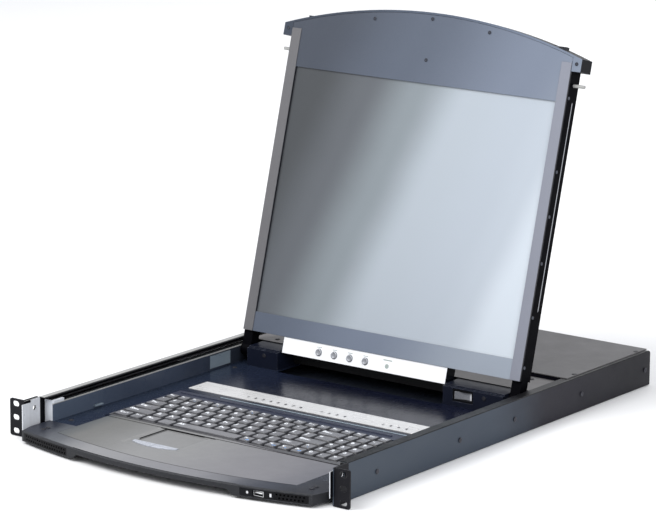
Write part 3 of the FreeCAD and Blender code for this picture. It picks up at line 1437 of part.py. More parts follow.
def build():
    """Make every sub-part."""
    fill_sheet()
    make_side_channel()
    make_rack_ear()
    make_latch_brackets()
    make_slides()
    make_ball_cages()
    make_rear_box()
    make_power_inlet()
    make_rear_ports()
    make_boards()
    make_chassis_screws()
    make_drawer_tray()
    make_deck_plate()
    make_front_handle()
    grille("grille_left", -1, "grille_start")
    grille("grille_right", 1, "port_end")
    make_front_ports()
    make_end_plates()
    make_palm_rest()
    make_keyboard()
    make_key_rows()
    make_touchpad()
    make_port_strip()
    make_hinge_blocks()
    make_power_rocker()
    make_rear_deck()
    make_hinge_pins()
    make_drawer_screws()
    make_lid_back()
    make_lid_bezel()
    make_lcd_panel()
    make_side_trims()
    make_upper_handle()
    make_latch_pins()
    make_control_strip()
    make_hinge_arms()
    make_lid_screws()
    document.recompute()


def check():
    """Stop if any object failed or any sub-part has no valid shape."""
    for item in document.Objects:
        if {"Invalid", "Error"} & set(item.State):
            raise RuntimeError(f"{item.Name} failed: {item.State}")
    for item in nodes:
        if item.Shape.isNull() or not item.Shape.isValid():
            raise RuntimeError(f"{item.Label} has no valid shape")


def export():
    """Write each sub-part to its own STEP file."""
    os.makedirs("parts", exist_ok=True)
    for item in nodes:
        item.Shape.exportStep(os.path.join("parts", item.Label + ".step"))
    print(len(nodes), "sub-parts written")


build()
check()
export()
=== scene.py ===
"""Rack console drawer: finishes, keycaps, legends, fasteners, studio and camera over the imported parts."""

import logging
import math
from dataclasses import dataclass, field
from enum import Enum
from typing import ClassVar

import bmesh
import bpy
import numpy as np
from mathutils import Matrix, Vector


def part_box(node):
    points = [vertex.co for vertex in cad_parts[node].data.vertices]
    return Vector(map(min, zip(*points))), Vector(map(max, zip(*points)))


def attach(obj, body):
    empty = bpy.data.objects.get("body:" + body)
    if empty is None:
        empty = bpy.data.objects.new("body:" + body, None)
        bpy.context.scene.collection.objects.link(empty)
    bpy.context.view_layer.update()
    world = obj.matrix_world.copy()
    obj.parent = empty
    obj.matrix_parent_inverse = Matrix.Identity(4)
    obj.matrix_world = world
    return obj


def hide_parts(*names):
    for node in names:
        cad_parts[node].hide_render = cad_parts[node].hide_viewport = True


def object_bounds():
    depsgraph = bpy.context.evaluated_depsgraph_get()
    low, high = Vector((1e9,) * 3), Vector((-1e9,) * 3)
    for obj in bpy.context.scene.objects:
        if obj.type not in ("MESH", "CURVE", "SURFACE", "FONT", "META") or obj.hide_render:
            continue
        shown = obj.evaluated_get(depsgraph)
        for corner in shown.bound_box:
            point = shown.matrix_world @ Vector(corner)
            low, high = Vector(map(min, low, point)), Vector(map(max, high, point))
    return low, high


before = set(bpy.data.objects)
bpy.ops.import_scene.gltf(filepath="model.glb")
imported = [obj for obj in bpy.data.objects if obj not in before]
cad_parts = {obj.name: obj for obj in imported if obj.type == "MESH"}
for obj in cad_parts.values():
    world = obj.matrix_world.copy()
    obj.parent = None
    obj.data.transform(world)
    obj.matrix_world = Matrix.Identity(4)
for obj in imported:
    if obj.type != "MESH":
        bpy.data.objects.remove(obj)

LOG = logging.getLogger("console_drawer")
MM = 0.001
Array = np.ndarray
Colour = tuple[float, float, float, float]
Triple = tuple[float, float, float]
CAD_BOX = [list(corner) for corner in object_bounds()]


def tone(code: str) -> Colour:
    """Linear colour of a display colour, by the usual display curve.

    Args:
        code: Six hex digits, two each for red, green and blue.

    Returns:
        Linear red, green, blue and full alpha.
    """
    level = np.array([*bytes.fromhex(code)], float) / 255
    linear = np.where(level <= 0.04045, level / 12.92, ((level + 0.055) / 1.055) ** 2.4)
    return (*linear.tolist(), 1.0)


@dataclass(frozen=True)
class LidPlane:
    """The open lid's own directions, leaning back about the hinge pins.

    Attributes:
        lean: Angle of the lid back from upright, in degrees.
        hinge: A point of the hinge line, in metres.
    """

    lean: float = 15.14
    hinge: Triple = (0.0, 385 * MM, 8.4 * MM)

    @property
    def axes(self) -> Array:
        """Rows: to the right, up along the lid, and back through the lid."""
        sine, cosine = math.sin(math.radians(self.lean)), math.cos(math.radians(self.lean))
        return np.array([[1.0, 0.0, 0.0], [0.0, sine, cosine], [0.0, cosine, -sine]])

    def place(self, points: Array) -> Array:
        """Row-frame points of points given as right, along and through."""
        return points @ self.axes + np.array(self.hinge)

    def read(self, points: Array) -> Array:
        """Right, along and through of row-frame points."""
        return (points - np.array(self.hinge)) @ self.axes.T


LID = LidPlane()


class Axis(Enum):
    """Directions of the row frame and of the open lid; the two that run across the lid also drop."""

    RIGHT = (1.0, 0.0, 0.0)
    FRONT = (0.0, -1.0, 0.0)
    BACK = (0.0, 1.0, 0.0)
    UP = (0.0, 0.0, 1.0)
    LID_FRONT = tuple((-LID.axes[2]).tolist())
    LID_REAR = tuple(LID.axes[2].tolist())
    ACROSS_LID = tuple((0.9 * LID.axes[0] - 0.45 * LID.axes[1]).tolist())
    ACROSS_SCREEN = tuple((LID.axes[0] - 0.35 * LID.axes[1]).tolist())


# ---------------------------------------------------------------- finishes

CLOUDS = 22.0  # cloudy patches of colour in a metre
DRIFT = 9.0  # wider patches that shift a run of tones
RUBS = 160.0  # patches of edge wear in a metre
SMUDGES = 35.0  # patches of gloss in a metre


class Recipe:
    """Node tree of one finish, grown from a Principled shader.

    Attributes:
        material: The material.
        tree: Its node tree.
        shader: Its Principled shader.
        place: Object coordinates.
        normal: Direction in which the surface faces.
    """

    def __init__(self, name: str) -> None:
        """Starts an empty material with its shader, output and object coordinates.

        Args:
            name: Material name.
        """
        self.material = bpy.data.materials.new(name)
        self.material.use_nodes = True
        self.tree = self.material.node_tree
        self.tree.nodes.clear()
        self.shader = self.tree.nodes.new("ShaderNodeBsdfPrincipled")
        output = self.tree.nodes.new("ShaderNodeOutputMaterial")
        self.tree.links.new(self.shader.outputs["BSDF"], output.inputs["Surface"])
        coordinates = self.tree.nodes.new("ShaderNodeTexCoord").outputs
        self.place, self.normal = coordinates["Object"], coordinates["Normal"]

    def node(self, kind: str, values: dict[int | str, object], **settings: object) -> bpy.types.Node:
        """Adds a node, with its settings, and fills or links its inputs.

        Args:
            kind: Blender's node type.
            values: Input name or number to a value or an output socket.
            **settings: Attributes of the node.

        Returns:
            The node.
        """
        made = self.tree.nodes.new(kind)
        for name, value in settings.items():
            setattr(made, name, value)
        for name, value in values.items():
            self.feed(made.inputs[name], value)
        return made

    def feed(self, socket: bpy.types.NodeSocket, value: object) -> None:
        """Links an output socket to an input, or sets the input's value.

        Args:
            socket: The input.
            value: Output socket or plain value.
        """
        if isinstance(value, bpy.types.NodeSocket):
            self.tree.links.new(value, socket)
        else:
            socket.default_value = value

    def surface(self, **values: object) -> None:
        """Feeds the shader's inputs, each named with underscores for its spaces."""
        for name, value in values.items():
            self.feed(self.shader.inputs[name.replace("_", " ")], value)

    def maths(self, operation: str, first: object, second: object = 0.0, third: object = 0.0) -> object:
        """Output of one arithmetic node."""
        return self.node("ShaderNodeMath", {0: first, 1: second, 2: third}, operation=operation).outputs[0]

    def vector(self, operation: str, first: object, second: object = (0.0, 0.0, 0.0)) -> object:
        """Output of one vector node: a number from a dot product or a length, else a vector."""
        made = self.node("ShaderNodeVectorMath", {0: first, 1: second}, operation=operation)
        return made.outputs["Value" if operation in ("DOT_PRODUCT", "LENGTH") else "Vector"]

    def along(self, vector: object, axis: Axis) -> object:
        """Length of a vector along a direction."""
        return self.vector("DOT_PRODUCT", vector, axis.value)

    def noise(self, scale: float, detail: float = 4.0, stretch: Triple = (1.0, 1.0, 1.0)) -> object:
        """Fractal noise over the object, as a number from 0 to 1.

        Args:
            scale: Features in a metre.
            detail: Number of finer layers.
            stretch: Multiplies the coordinates along each axis.

        Returns:
            The number's socket.
        """
        place = self.node("ShaderNodeMapping", {"Vector": self.place, "Scale": stretch}).outputs[0]
        values = {"Vector": place, "Scale": scale, "Detail": detail, "Roughness": 0.6}
        return self.node("ShaderNodeTexNoise", values).outputs["Fac"]

    def ramp(self, value: object, stops: tuple[tuple[float, str], ...]) -> object:
        """Colour eased from stop to stop.

        Args:
            value: Number that is looked up.
            stops: Rising numbers, with the tone at each.

        Returns:
            The colour's socket.
        """
        first, last = stops[0][0], stops[-1][0]
        made = self.node("ShaderNodeValToRGB", {"Fac": self.span(value, first, last, 0.0, 1.0)})
        band = made.color_ramp
        band.interpolation = "EASE"
        while len(band.elements) < len(stops):
            band.elements.new(0.5)
        for element, (position, code) in zip(band.elements, stops):
            element.position = (position - first) / (last - first)
            element.color = tone(code)
        return made.outputs["Color"]

    def blend(self, share: object, first: object, second: object) -> object:
        """Colour between two colours."""
        return self.node("ShaderNodeMix", {"Factor": share, 6: first, 7: second}, data_type="RGBA").outputs[2]

    def span(self, value: object, low: float, high: float, to_low: float, to_high: float) -> object:
        """A number carried from one range to another and held inside it."""
        values = {"Value": value, "From Min": low, "From Max": high, "To Min": to_low, "To Max": to_high}
        return self.node("ShaderNodeMapRange", values).outputs[0]


@dataclass(frozen=True)
class Finish:
    """A coated, plated or moulded surface, or only its colours. Tones are six hex digits.

    Attributes:
        name: Material name, empty for a finish that only colours parts of others.
        slot: The record's material slot; not used.
        worn: Tone of rubbed edges, and of the grain where several tones run together.
        colour: Main tone.
        shade: Tone of its cloudy patches.
        rough: Mean roughness.
        spread: How far roughness varies.
        metallic: Metal share.
        grain: Grain features per metre.
        relief: Height of the grain, in metres.
        stretch: Grain stretch along each axis, for brushed surfaces.
        edge: Radius that edges are softened by, in metres.
        wear: Share of edge wear.
        level: Specular level.
        coat: Clear coat weight.
    """

    name: str = ""
    slot: str = ""
    worn: str = ""
    colour: str = ""
    shade: str = ""
    rough: float = 0.4
    spread: float = 0.12
    metallic: float = 0.0
    grain: float = 1400.0
    relief: float = 0.06 * MM
    stretch: Triple = (1.0, 1.0, 1.0)
    edge: float = 0.5 * MM
    wear: float = 0.25
    level: float = 0.4
    coat: float = 0.0

    def colouring(self, recipe: Recipe) -> object:
        """Main tone broken by cloudy patches and fine grain.

        Args:
            recipe: Node tree that it is added to.

        Returns:
            The colour's socket.
        """
        clouds = recipe.span(recipe.noise(CLOUDS, 5.0), 0.35, 0.65, 0.0, 1.0)
        fine = recipe.span(recipe.noise(self.grain, 2.0, self.stretch), 0.3, 0.7, 0.0, 0.45)
        share = recipe.maths("MULTIPLY_ADD", clouds, 0.55, fine)
        return recipe.blend(share, tone(self.colour), tone(self.shade))

    def material(self) -> bpy.types.Material:
        """Builds the finish once and hands out the same material after that.

        Returns:
            The material: softened edges, rubbed edges, grain bump and uneven gloss.
        """
        found = bpy.data.materials.get(self.name)
        if found is not None:
            return found
        recipe = Recipe(self.name)
        soft = recipe.node("ShaderNodeBevel", {"Radius": self.edge}, samples=4).outputs[0]
        flat = recipe.node("ShaderNodeNewGeometry", {}).outputs["True Normal"]
        turned = recipe.span(recipe.vector("DOT_PRODUCT", soft, flat), 0.995, 0.9, 0.0, 1.0)
        patchy = recipe.span(recipe.noise(RUBS), 0.45, 0.7, 0.15, 1.0)
        rubbed = recipe.maths("MULTIPLY", recipe.maths("MULTIPLY", turned, patchy), self.wear)
        grain = recipe.noise(self.grain, 3.0, self.stretch)
        smudge = recipe.maths("MULTIPLY", recipe.noise(SMUDGES, 3.0), 0.5)
        uneven = recipe.maths("MULTIPLY_ADD", grain, 0.5, smudge)
        low, high = max(self.rough - self.spread, 0.03), self.rough + self.spread
        bump = {"Height": grain, "Distance": self.relief, "Strength": 0.35, "Normal": soft}
        recipe.surface(
            Base_Color=recipe.blend(rubbed, self.colouring(recipe), tone(self.worn)),
            Roughness=recipe.span(uneven, 0.3, 0.7, low, high),
            Normal=recipe.node("ShaderNodeBump", bump).outputs[0],
            Metallic=self.metallic,
            Specular_IOR_Level=self.level,
            Coat_Weight=self.coat,
            Coat_Roughness=0.12,
        )
        return recipe.material


@dataclass(frozen=True)
class ShadedFinish(Finish):
    """A finish that passes through several tones along one direction.

    Attributes:
        axis: Direction of the change.
        stops: Distances along it, in metres, with the tone at each.
        clouds: How far cloudy patches shift the tones, in metres.
    """

    axis: Axis = Axis.RIGHT
    stops: tuple[tuple[float, str], ...] = ()
    clouds: float = 0.003

    def colouring(self, recipe: Recipe) -> object:
        """Tone at each distance, with cloudy patches and fine grain.

        Args:
            recipe: Node tree that it is added to.

        Returns:
            The colour's socket.
        """
        patches = recipe.span(recipe.noise(DRIFT), 0.35, 0.65, -self.clouds, self.clouds)
        toned = recipe.ramp(recipe.maths("ADD", recipe.along(recipe.place, self.axis), patches), self.stops)
        fine = recipe.span(recipe.noise(self.grain, 2.0, self.stretch), 0.3, 0.7, 0.0, 0.06)
        return recipe.blend(fine, toned, tone(self.worn))


@dataclass(frozen=True)
class FacedFinish(Finish):
    """A finish whose faces that look one way are coloured like another.

    Attributes:
        face: The other finish.
        facing: Direction those faces look in.
    """

    face: Finish | None = None
    facing: Axis = Axis.LID_FRONT

    def colouring(self, recipe: Recipe) -> object:
        """The other finish's colours where a face looks along the direction."""
        share = recipe.maths("GREATER_THAN", recipe.along(recipe.normal, self.facing), 0.95)
        return recipe.blend(share, super().colouring(recipe), self.face.colouring(recipe))


@dataclass(frozen=True)
class BowedFinish(FacedFinish):
    """A faced finish that keeps its own colours on the bar outside an arc.

    Attributes:
        middle: Centre of the arc, behind the ears, in metres.
        radius: Radius of the arc, in metres.
    """

    middle: float = 0.0
    radius: float = 1.0

    def colouring(self, recipe: Recipe) -> object:
        """Own colours where the level distance from the arc's centre is more than its radius.

        Args:
            recipe: Node tree that it is added to.

        Returns:
            The colour's socket.
        """
        offset = recipe.vector("SUBTRACT", recipe.place, (0.0, self.middle, 0.0))
        reach = recipe.vector("LENGTH", recipe.vector("MULTIPLY", offset, (1.0, 1.0, 0.0)))
        outside = recipe.maths("GREATER_THAN", reach, self.radius)
        return recipe.blend(outside, super().colouring(recipe), Finish.colouring(self, recipe))


@dataclass(frozen=True)
class InlaidFinish(Finish):
    """A finish coloured like another inside some boxes.

    Attributes:
        inlay: The other finish.
        ground: Finish that colours the rest, or None for this one's own colours.
        boxes: Lowest and highest corners of each box, in metres.
    """

    inlay: Finish | None = None
    ground: Finish | None = None
    boxes: tuple[tuple[Triple, Triple], ...] = ()

    def colouring(self, recipe: Recipe) -> object:
        """The other finish's colours inside the boxes.

        Args:
            recipe: Node tree that it is added to.

        Returns:
            The colour's socket.
        """
        colour = self.ground.colouring(recipe) if self.ground else super().colouring(recipe)
        inlay = self.inlay.colouring(recipe)
        for low, high in self.boxes:
            colour = recipe.blend(self.within(recipe, np.array(low), np.array(high)), colour, inlay)
        return colour

    def within(self, recipe: Recipe, low: Array, high: Array) -> object:
        """One where every coordinate lies within a box, zero elsewhere.

        Args:
            recipe: Node tree that it is added to.
            low: Lowest corner.
            high: Highest corner.

        Returns:
            The number's socket.
        """
        offset = recipe.vector("SUBTRACT", recipe.place, tuple((low + high) / 2))
        share = recipe.vector("DIVIDE", offset, tuple((high - low) / 2 + 0.05 * MM))
        parts = recipe.node("ShaderNodeSeparateXYZ", {0: recipe.vector("ABSOLUTE", share)}).outputs
        widest = recipe.maths("MAXIMUM", recipe.maths("MAXIMUM", parts[0], parts[1]), parts[2])
        return recipe.maths("LESS_THAN", widest, 1.0)


@dataclass(frozen=True)
class BoardFinish(Finish):
    """Solder mask over copper tracks."""

    def colouring(self, recipe: Recipe) -> object:
        """Green mask with a lighter net of straight tracks.

        Args:
            recipe: Node tree that it is added to.

        Returns:
            The colour's socket.
        """
        tones = {"Color1": tone(self.colour), "Color2": tone(self.shade), "Mortar": tone(self.worn)}
        size = {"Vector": recipe.place, "Scale": 90.0, "Mortar Size": 0.03}
        return recipe.node("ShaderNodeTexBrick", tones | size).outputs["Color"]


class Shop:
    """Every finish used on the drawer."""

    # Painted shade: tones lighter and bluer at the front and darker towards the back of one black coat.
    STEEL = ShadedFinish(
        "black_powder_coat", "black_metal", "6e707a", rough=0.6, grain=1800, relief=0.08 * MM, wear=0.3,
        level=0.02, clouds=0.02, axis=Axis.BACK,
        stops=((0.0, "38414c"), (0.3, "343d49"), (0.42, "13111c"), (0.64, "05040b")),
    )
    # Tray walls: painted shade, tones lighter at the front and darker towards the back.
    WALL = ShadedFinish(
        worn="969ca8", grain=1800, clouds=0.03, axis=Axis.BACK,
        stops=((0.0, "4c5768"), (0.2, "363f50"), (0.4, "181d28"), (0.64, "181a22")),
    )
    REAR_COAT = Finish(colour="1e1e23", shade="26262b")
    SHEER = FacedFinish(
        "lid_shell_black", "black_metal", "46464e", "020205", "050509", rough=0.55, grain=1800, wear=0.1,
        level=0.03, face=REAR_COAT, facing=Axis.LID_REAR,
    )
    # Pale tone: a painted highlight along the top edges of the tray walls and the left channel's flange, and
    # the pale outer ends of the latch pins.
    HIGHLIGHT_AND_PALE_PIN = Finish(colour="969694", shade="aaaaa8")
    # Tray: the painted-shade wall tones, with a painted highlight along the tops of its walls.
    TRAY_STEEL = InlaidFinish(
        "navy_tray_shade_and_highlight", "black_metal", "969ca8", rough=0.32, grain=1800, relief=0.05 * MM, wear=0.2,
        level=0.25, ground=WALL, inlay=HIGHLIGHT_AND_PALE_PIN, boxes=(((-0.3, -0.1, 0.0123), (0.3, 0.5, 0.014)),),
    )
    # Left channel: near-black coat, partly its own black and partly painted shade on its inner face, with a
    # painted highlight along its top flange.
    CHANNEL = InlaidFinish(
        "channel_coat", "black_metal", "5a5a60", "0a0a0e", "0e0e13", rough=0.38, grain=1800, wear=0.1,
        level=0.06, inlay=HIGHLIGHT_AND_PALE_PIN, boxes=(((-0.22, -0.01, 0.0209), (-0.2115, 0.65, 0.0213)),),
    )
    EAR = Finish("ear_powder_coat", "black_metal", "828286", "0e0e12", "16161b", wear=0.4, level=0.12)
    # Screw faces that look to the right are painted lighter, a painted light.
    FASTENER_LIT_SIDE = Finish(colour="2c2c34", shade="3c3c44")
    FASTENER = FacedFinish(
        "blackened_screw", "black_metal", "78787e", "16161c", "24242a", rough=0.35, edge=0.2 * MM, wear=0.5,
        level=0.2, face=FASTENER_LIT_SIDE, facing=Axis.RIGHT,
    )
    LID_SCREW_FACE = Finish(colour="1a1d26", shade="242730")
    LID_SCREW = FacedFinish(
        "lid_screw", "black_metal", "c8ced8", "3c3f48", "484b54", rough=0.35, edge=0.2 * MM, wear=0.2,
        level=0.2, face=LID_SCREW_FACE,
    )
    COVER = Finish(
        "grey_cover_coat", "grey_metal", "969696", "686768", "706f70", rough=0.62, grain=1500,
        relief=0.1 * MM, level=0.3,
    )
    ZINC = Finish(colour="d0d2d8", shade="e8ebf0", grain=160, stretch=(1.0, 1.0, 0.12))
    SLIDE = Finish(
        "dark_slide_steel", "zinc", "aaabae", "1e1e22", "2c2c30", rough=0.34, metallic=0.5, grain=600,
        relief=0.02 * MM, wear=0.4, stretch=(1.0, 0.06, 1.0),
    )
    RUNNER = Finish(
        "pale_runner_steel", "zinc", "d6dce2", "84929e", "92a0ab", rough=0.34, metallic=0.3, grain=400,
        relief=0.01 * MM, wear=0.3, stretch=(1.0, 0.2, 1.0),
    )
    # The inner part of the right end plate is painted black, a painted shade; its front edge keeps the bright
    # zinc.
    PLATE = InlaidFinish(
        "end_plate_zinc", "zinc", "fafafa", "d6dae2", "e8ebf0", rough=0.34, metallic=0.2, grain=160,
        relief=0.01 * MM, wear=0.3, inlay=SHEER, boxes=(((0.2, 0.03, -0.02), (0.2152, 0.06, 0.02)),),
    )
    CATCH = InlaidFinish(
        "latch_pin_steel", "zinc", "787a82", "1e2026", "282a30", rough=0.3, grain=900, relief=0.01 * MM,
        level=0.2, inlay=HIGHLIGHT_AND_PALE_PIN,
        boxes=(((-0.23, 0.4, 0.35), (-0.2025, 0.52, 0.42)), ((0.2025, 0.4, 0.35), (0.23, 0.52, 0.42))),
    )
    BRIGHT = Finish(
        "turned_steel", "zinc", "fafafa", "d6d6d8", "eeeeee", rough=0.2, metallic=1.0, grain=900,
        relief=0.02 * MM, stretch=(0.1, 1.0, 1.0),
    )
    SHELL = Finish("socket_shell", "zinc", "f0f0f0", "c4c5c8", "e0e1e3", rough=0.3)
    # Deck: tones lighter towards the left end, a painted sheen on the navy lacquer.
    DECK = ShadedFinish(
        "navy_deck_lacquer", "navy_plastic", "3c445c", rough=0.26, spread=0.05, grain=2400, relief=0.03 * MM,
        level=0.22, coat=0.06,
        stops=((-0.215, "222b3a"), (-0.16, "1a2132"), (-0.05, "0b0e1d"), (0.2, "0e1223")),
    )
    BLOCK = Finish(
        "navy_block_plastic", "navy_plastic", "787e8e", "0e121e", "141826", rough=0.34, grain=2200,
        edge=0.8 * MM, wear=0.5, level=0.15,
    )
    # Handle top faces: painted light, grey in the middle and navy towards both ends, over a black handle.
    LIT_HANDLE_TOP = ShadedFinish(
        worn="b4b4b8", grain=2400, clouds=0.01,
        stops=(
            (-0.2, "121826"), (-0.165, "54575c"), (-0.1, "88888a"), (0.05, "7a7a7e"), (0.15, "282d39"),
            (0.2, "0d111d"),
        ),
    )
    HANDLE = BowedFinish(
        "handle_texture_black", "dark_plastic", "6e6f74", "1e1f22", "2a2b2f", rough=0.42, grain=2600,
        relief=0.1 * MM, edge=0.9 * MM, wear=0.5, level=0.2, face=LIT_HANDLE_TOP, facing=Axis.UP, middle=667 * MM,
        radius=712.3 * MM,
    )
    # Palm rest: tones painted light and shade, lightest near the middle, darker to the right and navy at the
    # left end.
    PALM = ShadedFinish(
        "palm_rest_grain", "grey_plastic", "acacaf", rough=0.46, grain=1700, relief=0.12 * MM, edge=0.8 * MM,
        clouds=0.008,
        stops=(
            (-0.19, "1e2634"), (-0.172, "4e5254"), (-0.14, "686866"), (-0.04, "848484"), (0.1, "77767a"),
            (0.19, "626269"),
        ),
    )
    PAD = Finish(
        "touch_surface", "grey_plastic", "b4b4b8", "7e7e7e", "888888", rough=0.55, grain=3000,
        relief=0.05 * MM, edge=0.4 * MM,
    )
    CLICK = Finish(
        "click_plate_satin", "silver_plastic", "dcdee4", "b0b4be", "c4c8d0", rough=0.3, metallic=0.3,
        grain=1200, stretch=(0.06, 1.0, 1.0),
    )
    BOARD_FRAME = ShadedFinish(
        "keyboard_frame", "navy_plastic", "8c8c90", grain=2300, relief=0.09 * MM, level=0.3, clouds=0.002,
        axis=Axis.BACK, stops=((0.04, "58585a"), (0.13, "545458"), (0.15, "323648"), (0.17, "282d40")),
    )
    TRAY = Finish("keyboard_tray", "dark_plastic", "28282e", "08090e", "0d0e14", rough=0.5, level=0.2)
    # Keycaps: tops painted lighter and sides darker than the one plastic, painted light and shade.
    LIT_KEY_TOP = Finish(colour="6a6a6e", shade="828286")
    KEY = FacedFinish(
        "keycap_plastic", "key_plastic", "c8cad0", "2e2e32", "38383c", rough=0.3, spread=0.1, grain=2600,
        relief=0.04 * MM, edge=0.3 * MM, wear=0.35, face=LIT_KEY_TOP, facing=Axis.UP,
    )
    LEGEND = Finish(
        "legend_white", "white_plastic", "fcfcfc", "f4f6fa", "e8ecf2", rough=0.5, edge=0.05 * MM, wear=0.1,
    )
    LEGEND_BLUE = Finish(
        "legend_blue", "white_plastic", "b4ceec", "78b0ec", "68a0de", rough=0.5, edge=0.05 * MM, wear=0.1,
    )
    # Front faces of the bezel and upper handle: painted light across the lid, darker at the left and lighter
    # at the right.
    LIT_BEZEL_FACE = ShadedFinish(
        worn="aab0bc", grain=2200, axis=Axis.ACROSS_LID,
        stops=((-0.364, "333944"), (-0.24, "49515f"), (-0.082, "687181"), (0.064, "8b939e")),
    )
    BEZEL = FacedFinish(
        "bezel_black_sided", "bezel_plastic", "aab0bc", "0e0f16", "14151d", rough=0.42, edge=0.7 * MM,
        wear=0.15, level=0.3, face=LIT_BEZEL_FACE,
    )
    CAP = FacedFinish(
        "upper_handle_satin", "dark_plastic", "6e727c", "08090e", "0c0d13", rough=0.42, grain=2200,
        edge=0.9 * MM, wear=0.4, level=0.12, face=LIT_BEZEL_FACE,
    )
    # Screen: a painted reflection of the studio light, dark at the left and bright towards the lower right.
    SCREEN = ShadedFinish(
        "screen_anti_glare", "screen_glass", "96989c", rough=0.3, spread=0.03, grain=4000, relief=0.01 * MM,
        wear=0.0, coat=0.2, clouds=0.002, axis=Axis.ACROSS_SCREEN,
        stops=(
            (-0.3065, "383b3e"), (-0.2345, "51555a"), (-0.1615, "798186"), (-0.0915, "a2aab2"),
            (-0.0015, "a5adb6"), (0.0385, "a9b1ba"), (0.0835, "bec6ce"),
        ),
    )
    # Side trims: the left one is painted darker than the right, painted light and shade on one grey trim.
    TRIM = ShadedFinish(
        "grey_side_trim", "trim_plastic", "babcc4", grain=2000, edge=0.6 * MM,
        stops=((-0.2, "585759"), (0.2, "777a85")),
    )
    # Pale lips on the lid's black sides: a painted highlight.
    SEAM_HIGHLIGHT = Finish("seam_painted_highlight", "trim_plastic", "d2d2d6", "96989e", "aaacb2", grain=1600, edge=0.2 * MM)
    WHITE = Finish(colour="eeeff2", shade="f6f7f9", grain=1500)
    # Control strip: white front; its other faces are painted near black, a painted shade on its end and
    # underside.
    STRIP = FacedFinish(
        "white_faced_strip", "white_plastic", "5a5c64", "080a11", "0c0e16", rough=0.2, spread=0.05,
        grain=1500, relief=0.02 * MM, wear=0.1, level=0.2, coat=0.1, face=WHITE,
    )
    CAPTION = Finish(
        "pale_caption_ink", "white_plastic", "bec2c0", "96a29e", "a4aeaa", relief=0.0, edge=0.02 * MM,
        wear=0.0,
    )
    INK = Finish(
        "dark_caption_ink", "white_plastic", "78787c", "2c2e34", "3a3c42", relief=0.0, edge=0.02 * MM,
        wear=0.0,
    )
    # Near black for beads placed where the touchpad recess and the gaps round the keys and palm rest lie in
    # shade, and for faces blackened as shade: a painted shade.
    PAINTED_SHADE_BLACK = Finish(
        "painted_shade_black", "dark_plastic", "1e1e21", "040407", "08080b", rough=0.7, edge=0.1 * MM, wear=0.0,
        level=0.02,
    )
    # Right channel: its top flange is painted black, a painted shade, over the chassis tones.
    SIDE = InlaidFinish(
        "side_channel_coat", "black_metal", "6e707a", grain=1800, relief=0.08 * MM, wear=0.3, level=0.2,
        ground=STEEL, inlay=PAINTED_SHADE_BLACK, boxes=(((0.2075, -0.01, 0.0204), (0.2202, 0.65, 0.0222)),),
    )
    # Right latch bracket: one face is painted black, a painted shade on the bright zinc.
    BRACKET = InlaidFinish(
        "latch_bracket_zinc", "zinc", "fafafa", rough=0.34, metallic=0.2, grain=160, relief=0.01 * MM,
        wear=0.3, ground=ZINC, inlay=PAINTED_SHADE_BLACK, boxes=(((0.2184, -0.0047, -0.03), (0.2196, 0.06, 0.03)),),
    )
    BUTTON = Finish(
        "button_silver", "silver_plastic", "dcdcde", "96989d", "aeb0b5", rough=0.28, metallic=0.5, grain=1300,
        edge=0.3 * MM,
    )
    PORT_PLATE = Finish(
        "port_plate_brushed", "silver_plastic", "f8f8f8", "dad9d8", "e8e7e6", rough=0.3, metallic=0.2,
        grain=900, relief=0.02 * MM, edge=0.4 * MM, stretch=(0.03, 1.0, 1.0),
    )
    # Power rocker: its bright right end is a painted highlight on the silver moulding.
    ROCKER = ShadedFinish(
        "rocker_silver", "silver_plastic", "f6f6f8", rough=0.3, metallic=0.1, grain=1800, edge=0.9 * MM,
        wear=0.6, clouds=0.0005, stops=((0.12, "686a70"), (0.1385, "787a80"), (0.1415, "e8e9ec")),
    )
    SHADE = Finish(colour="08080a", shade="0a0a0c")
    BEIGE = FacedFinish(
        "warm_grey_steel", "beige_metal", "969492", "6c6a6b", "747272", rough=0.55, grain=1600,
        relief=0.08 * MM, face=SHADE, facing=Axis.FRONT,
    )
    SOCKET = Finish("socket_black", "dark_plastic", "46464a", "0a0a0d", "101013", level=0.1)
    SUPPLY = Finish("supply_can", "zinc", "dcdcdc", "b0b2b4", "c4c6c8", metallic=0.7, grain=500)
    BOARD = BoardFinish("circuit_board", "board_green", "3c8c54", "125430", "0e4a2a", rough=0.35)


# ---------------------------------------------------------------- surfaces


def grid(right: Array | float, back: Array | float, up: Array | float) -> Array:
    """Points whose coordinates are spread over one another's shapes.

    Args:
        right: First coordinate.
        back: Second coordinate.
        up: Third coordinate.

    Returns:
        Points, shape (..., 3).
    """
    return np.stack(np.broadcast_arrays(right, back, up), axis=-1)


def circle(count: int) -> tuple[Array, Array]:
    """Cosines and sines at even steps round a circle."""
    angle = np.linspace(0, 2 * math.pi, count, endpoint=False)
    return np.cos(angle), np.sin(angle)


def extent(points: Array) -> tuple[Array, Array]:
    """Lowest and highest corners of some points."""
    return points.min(axis=0), points.max(axis=0)


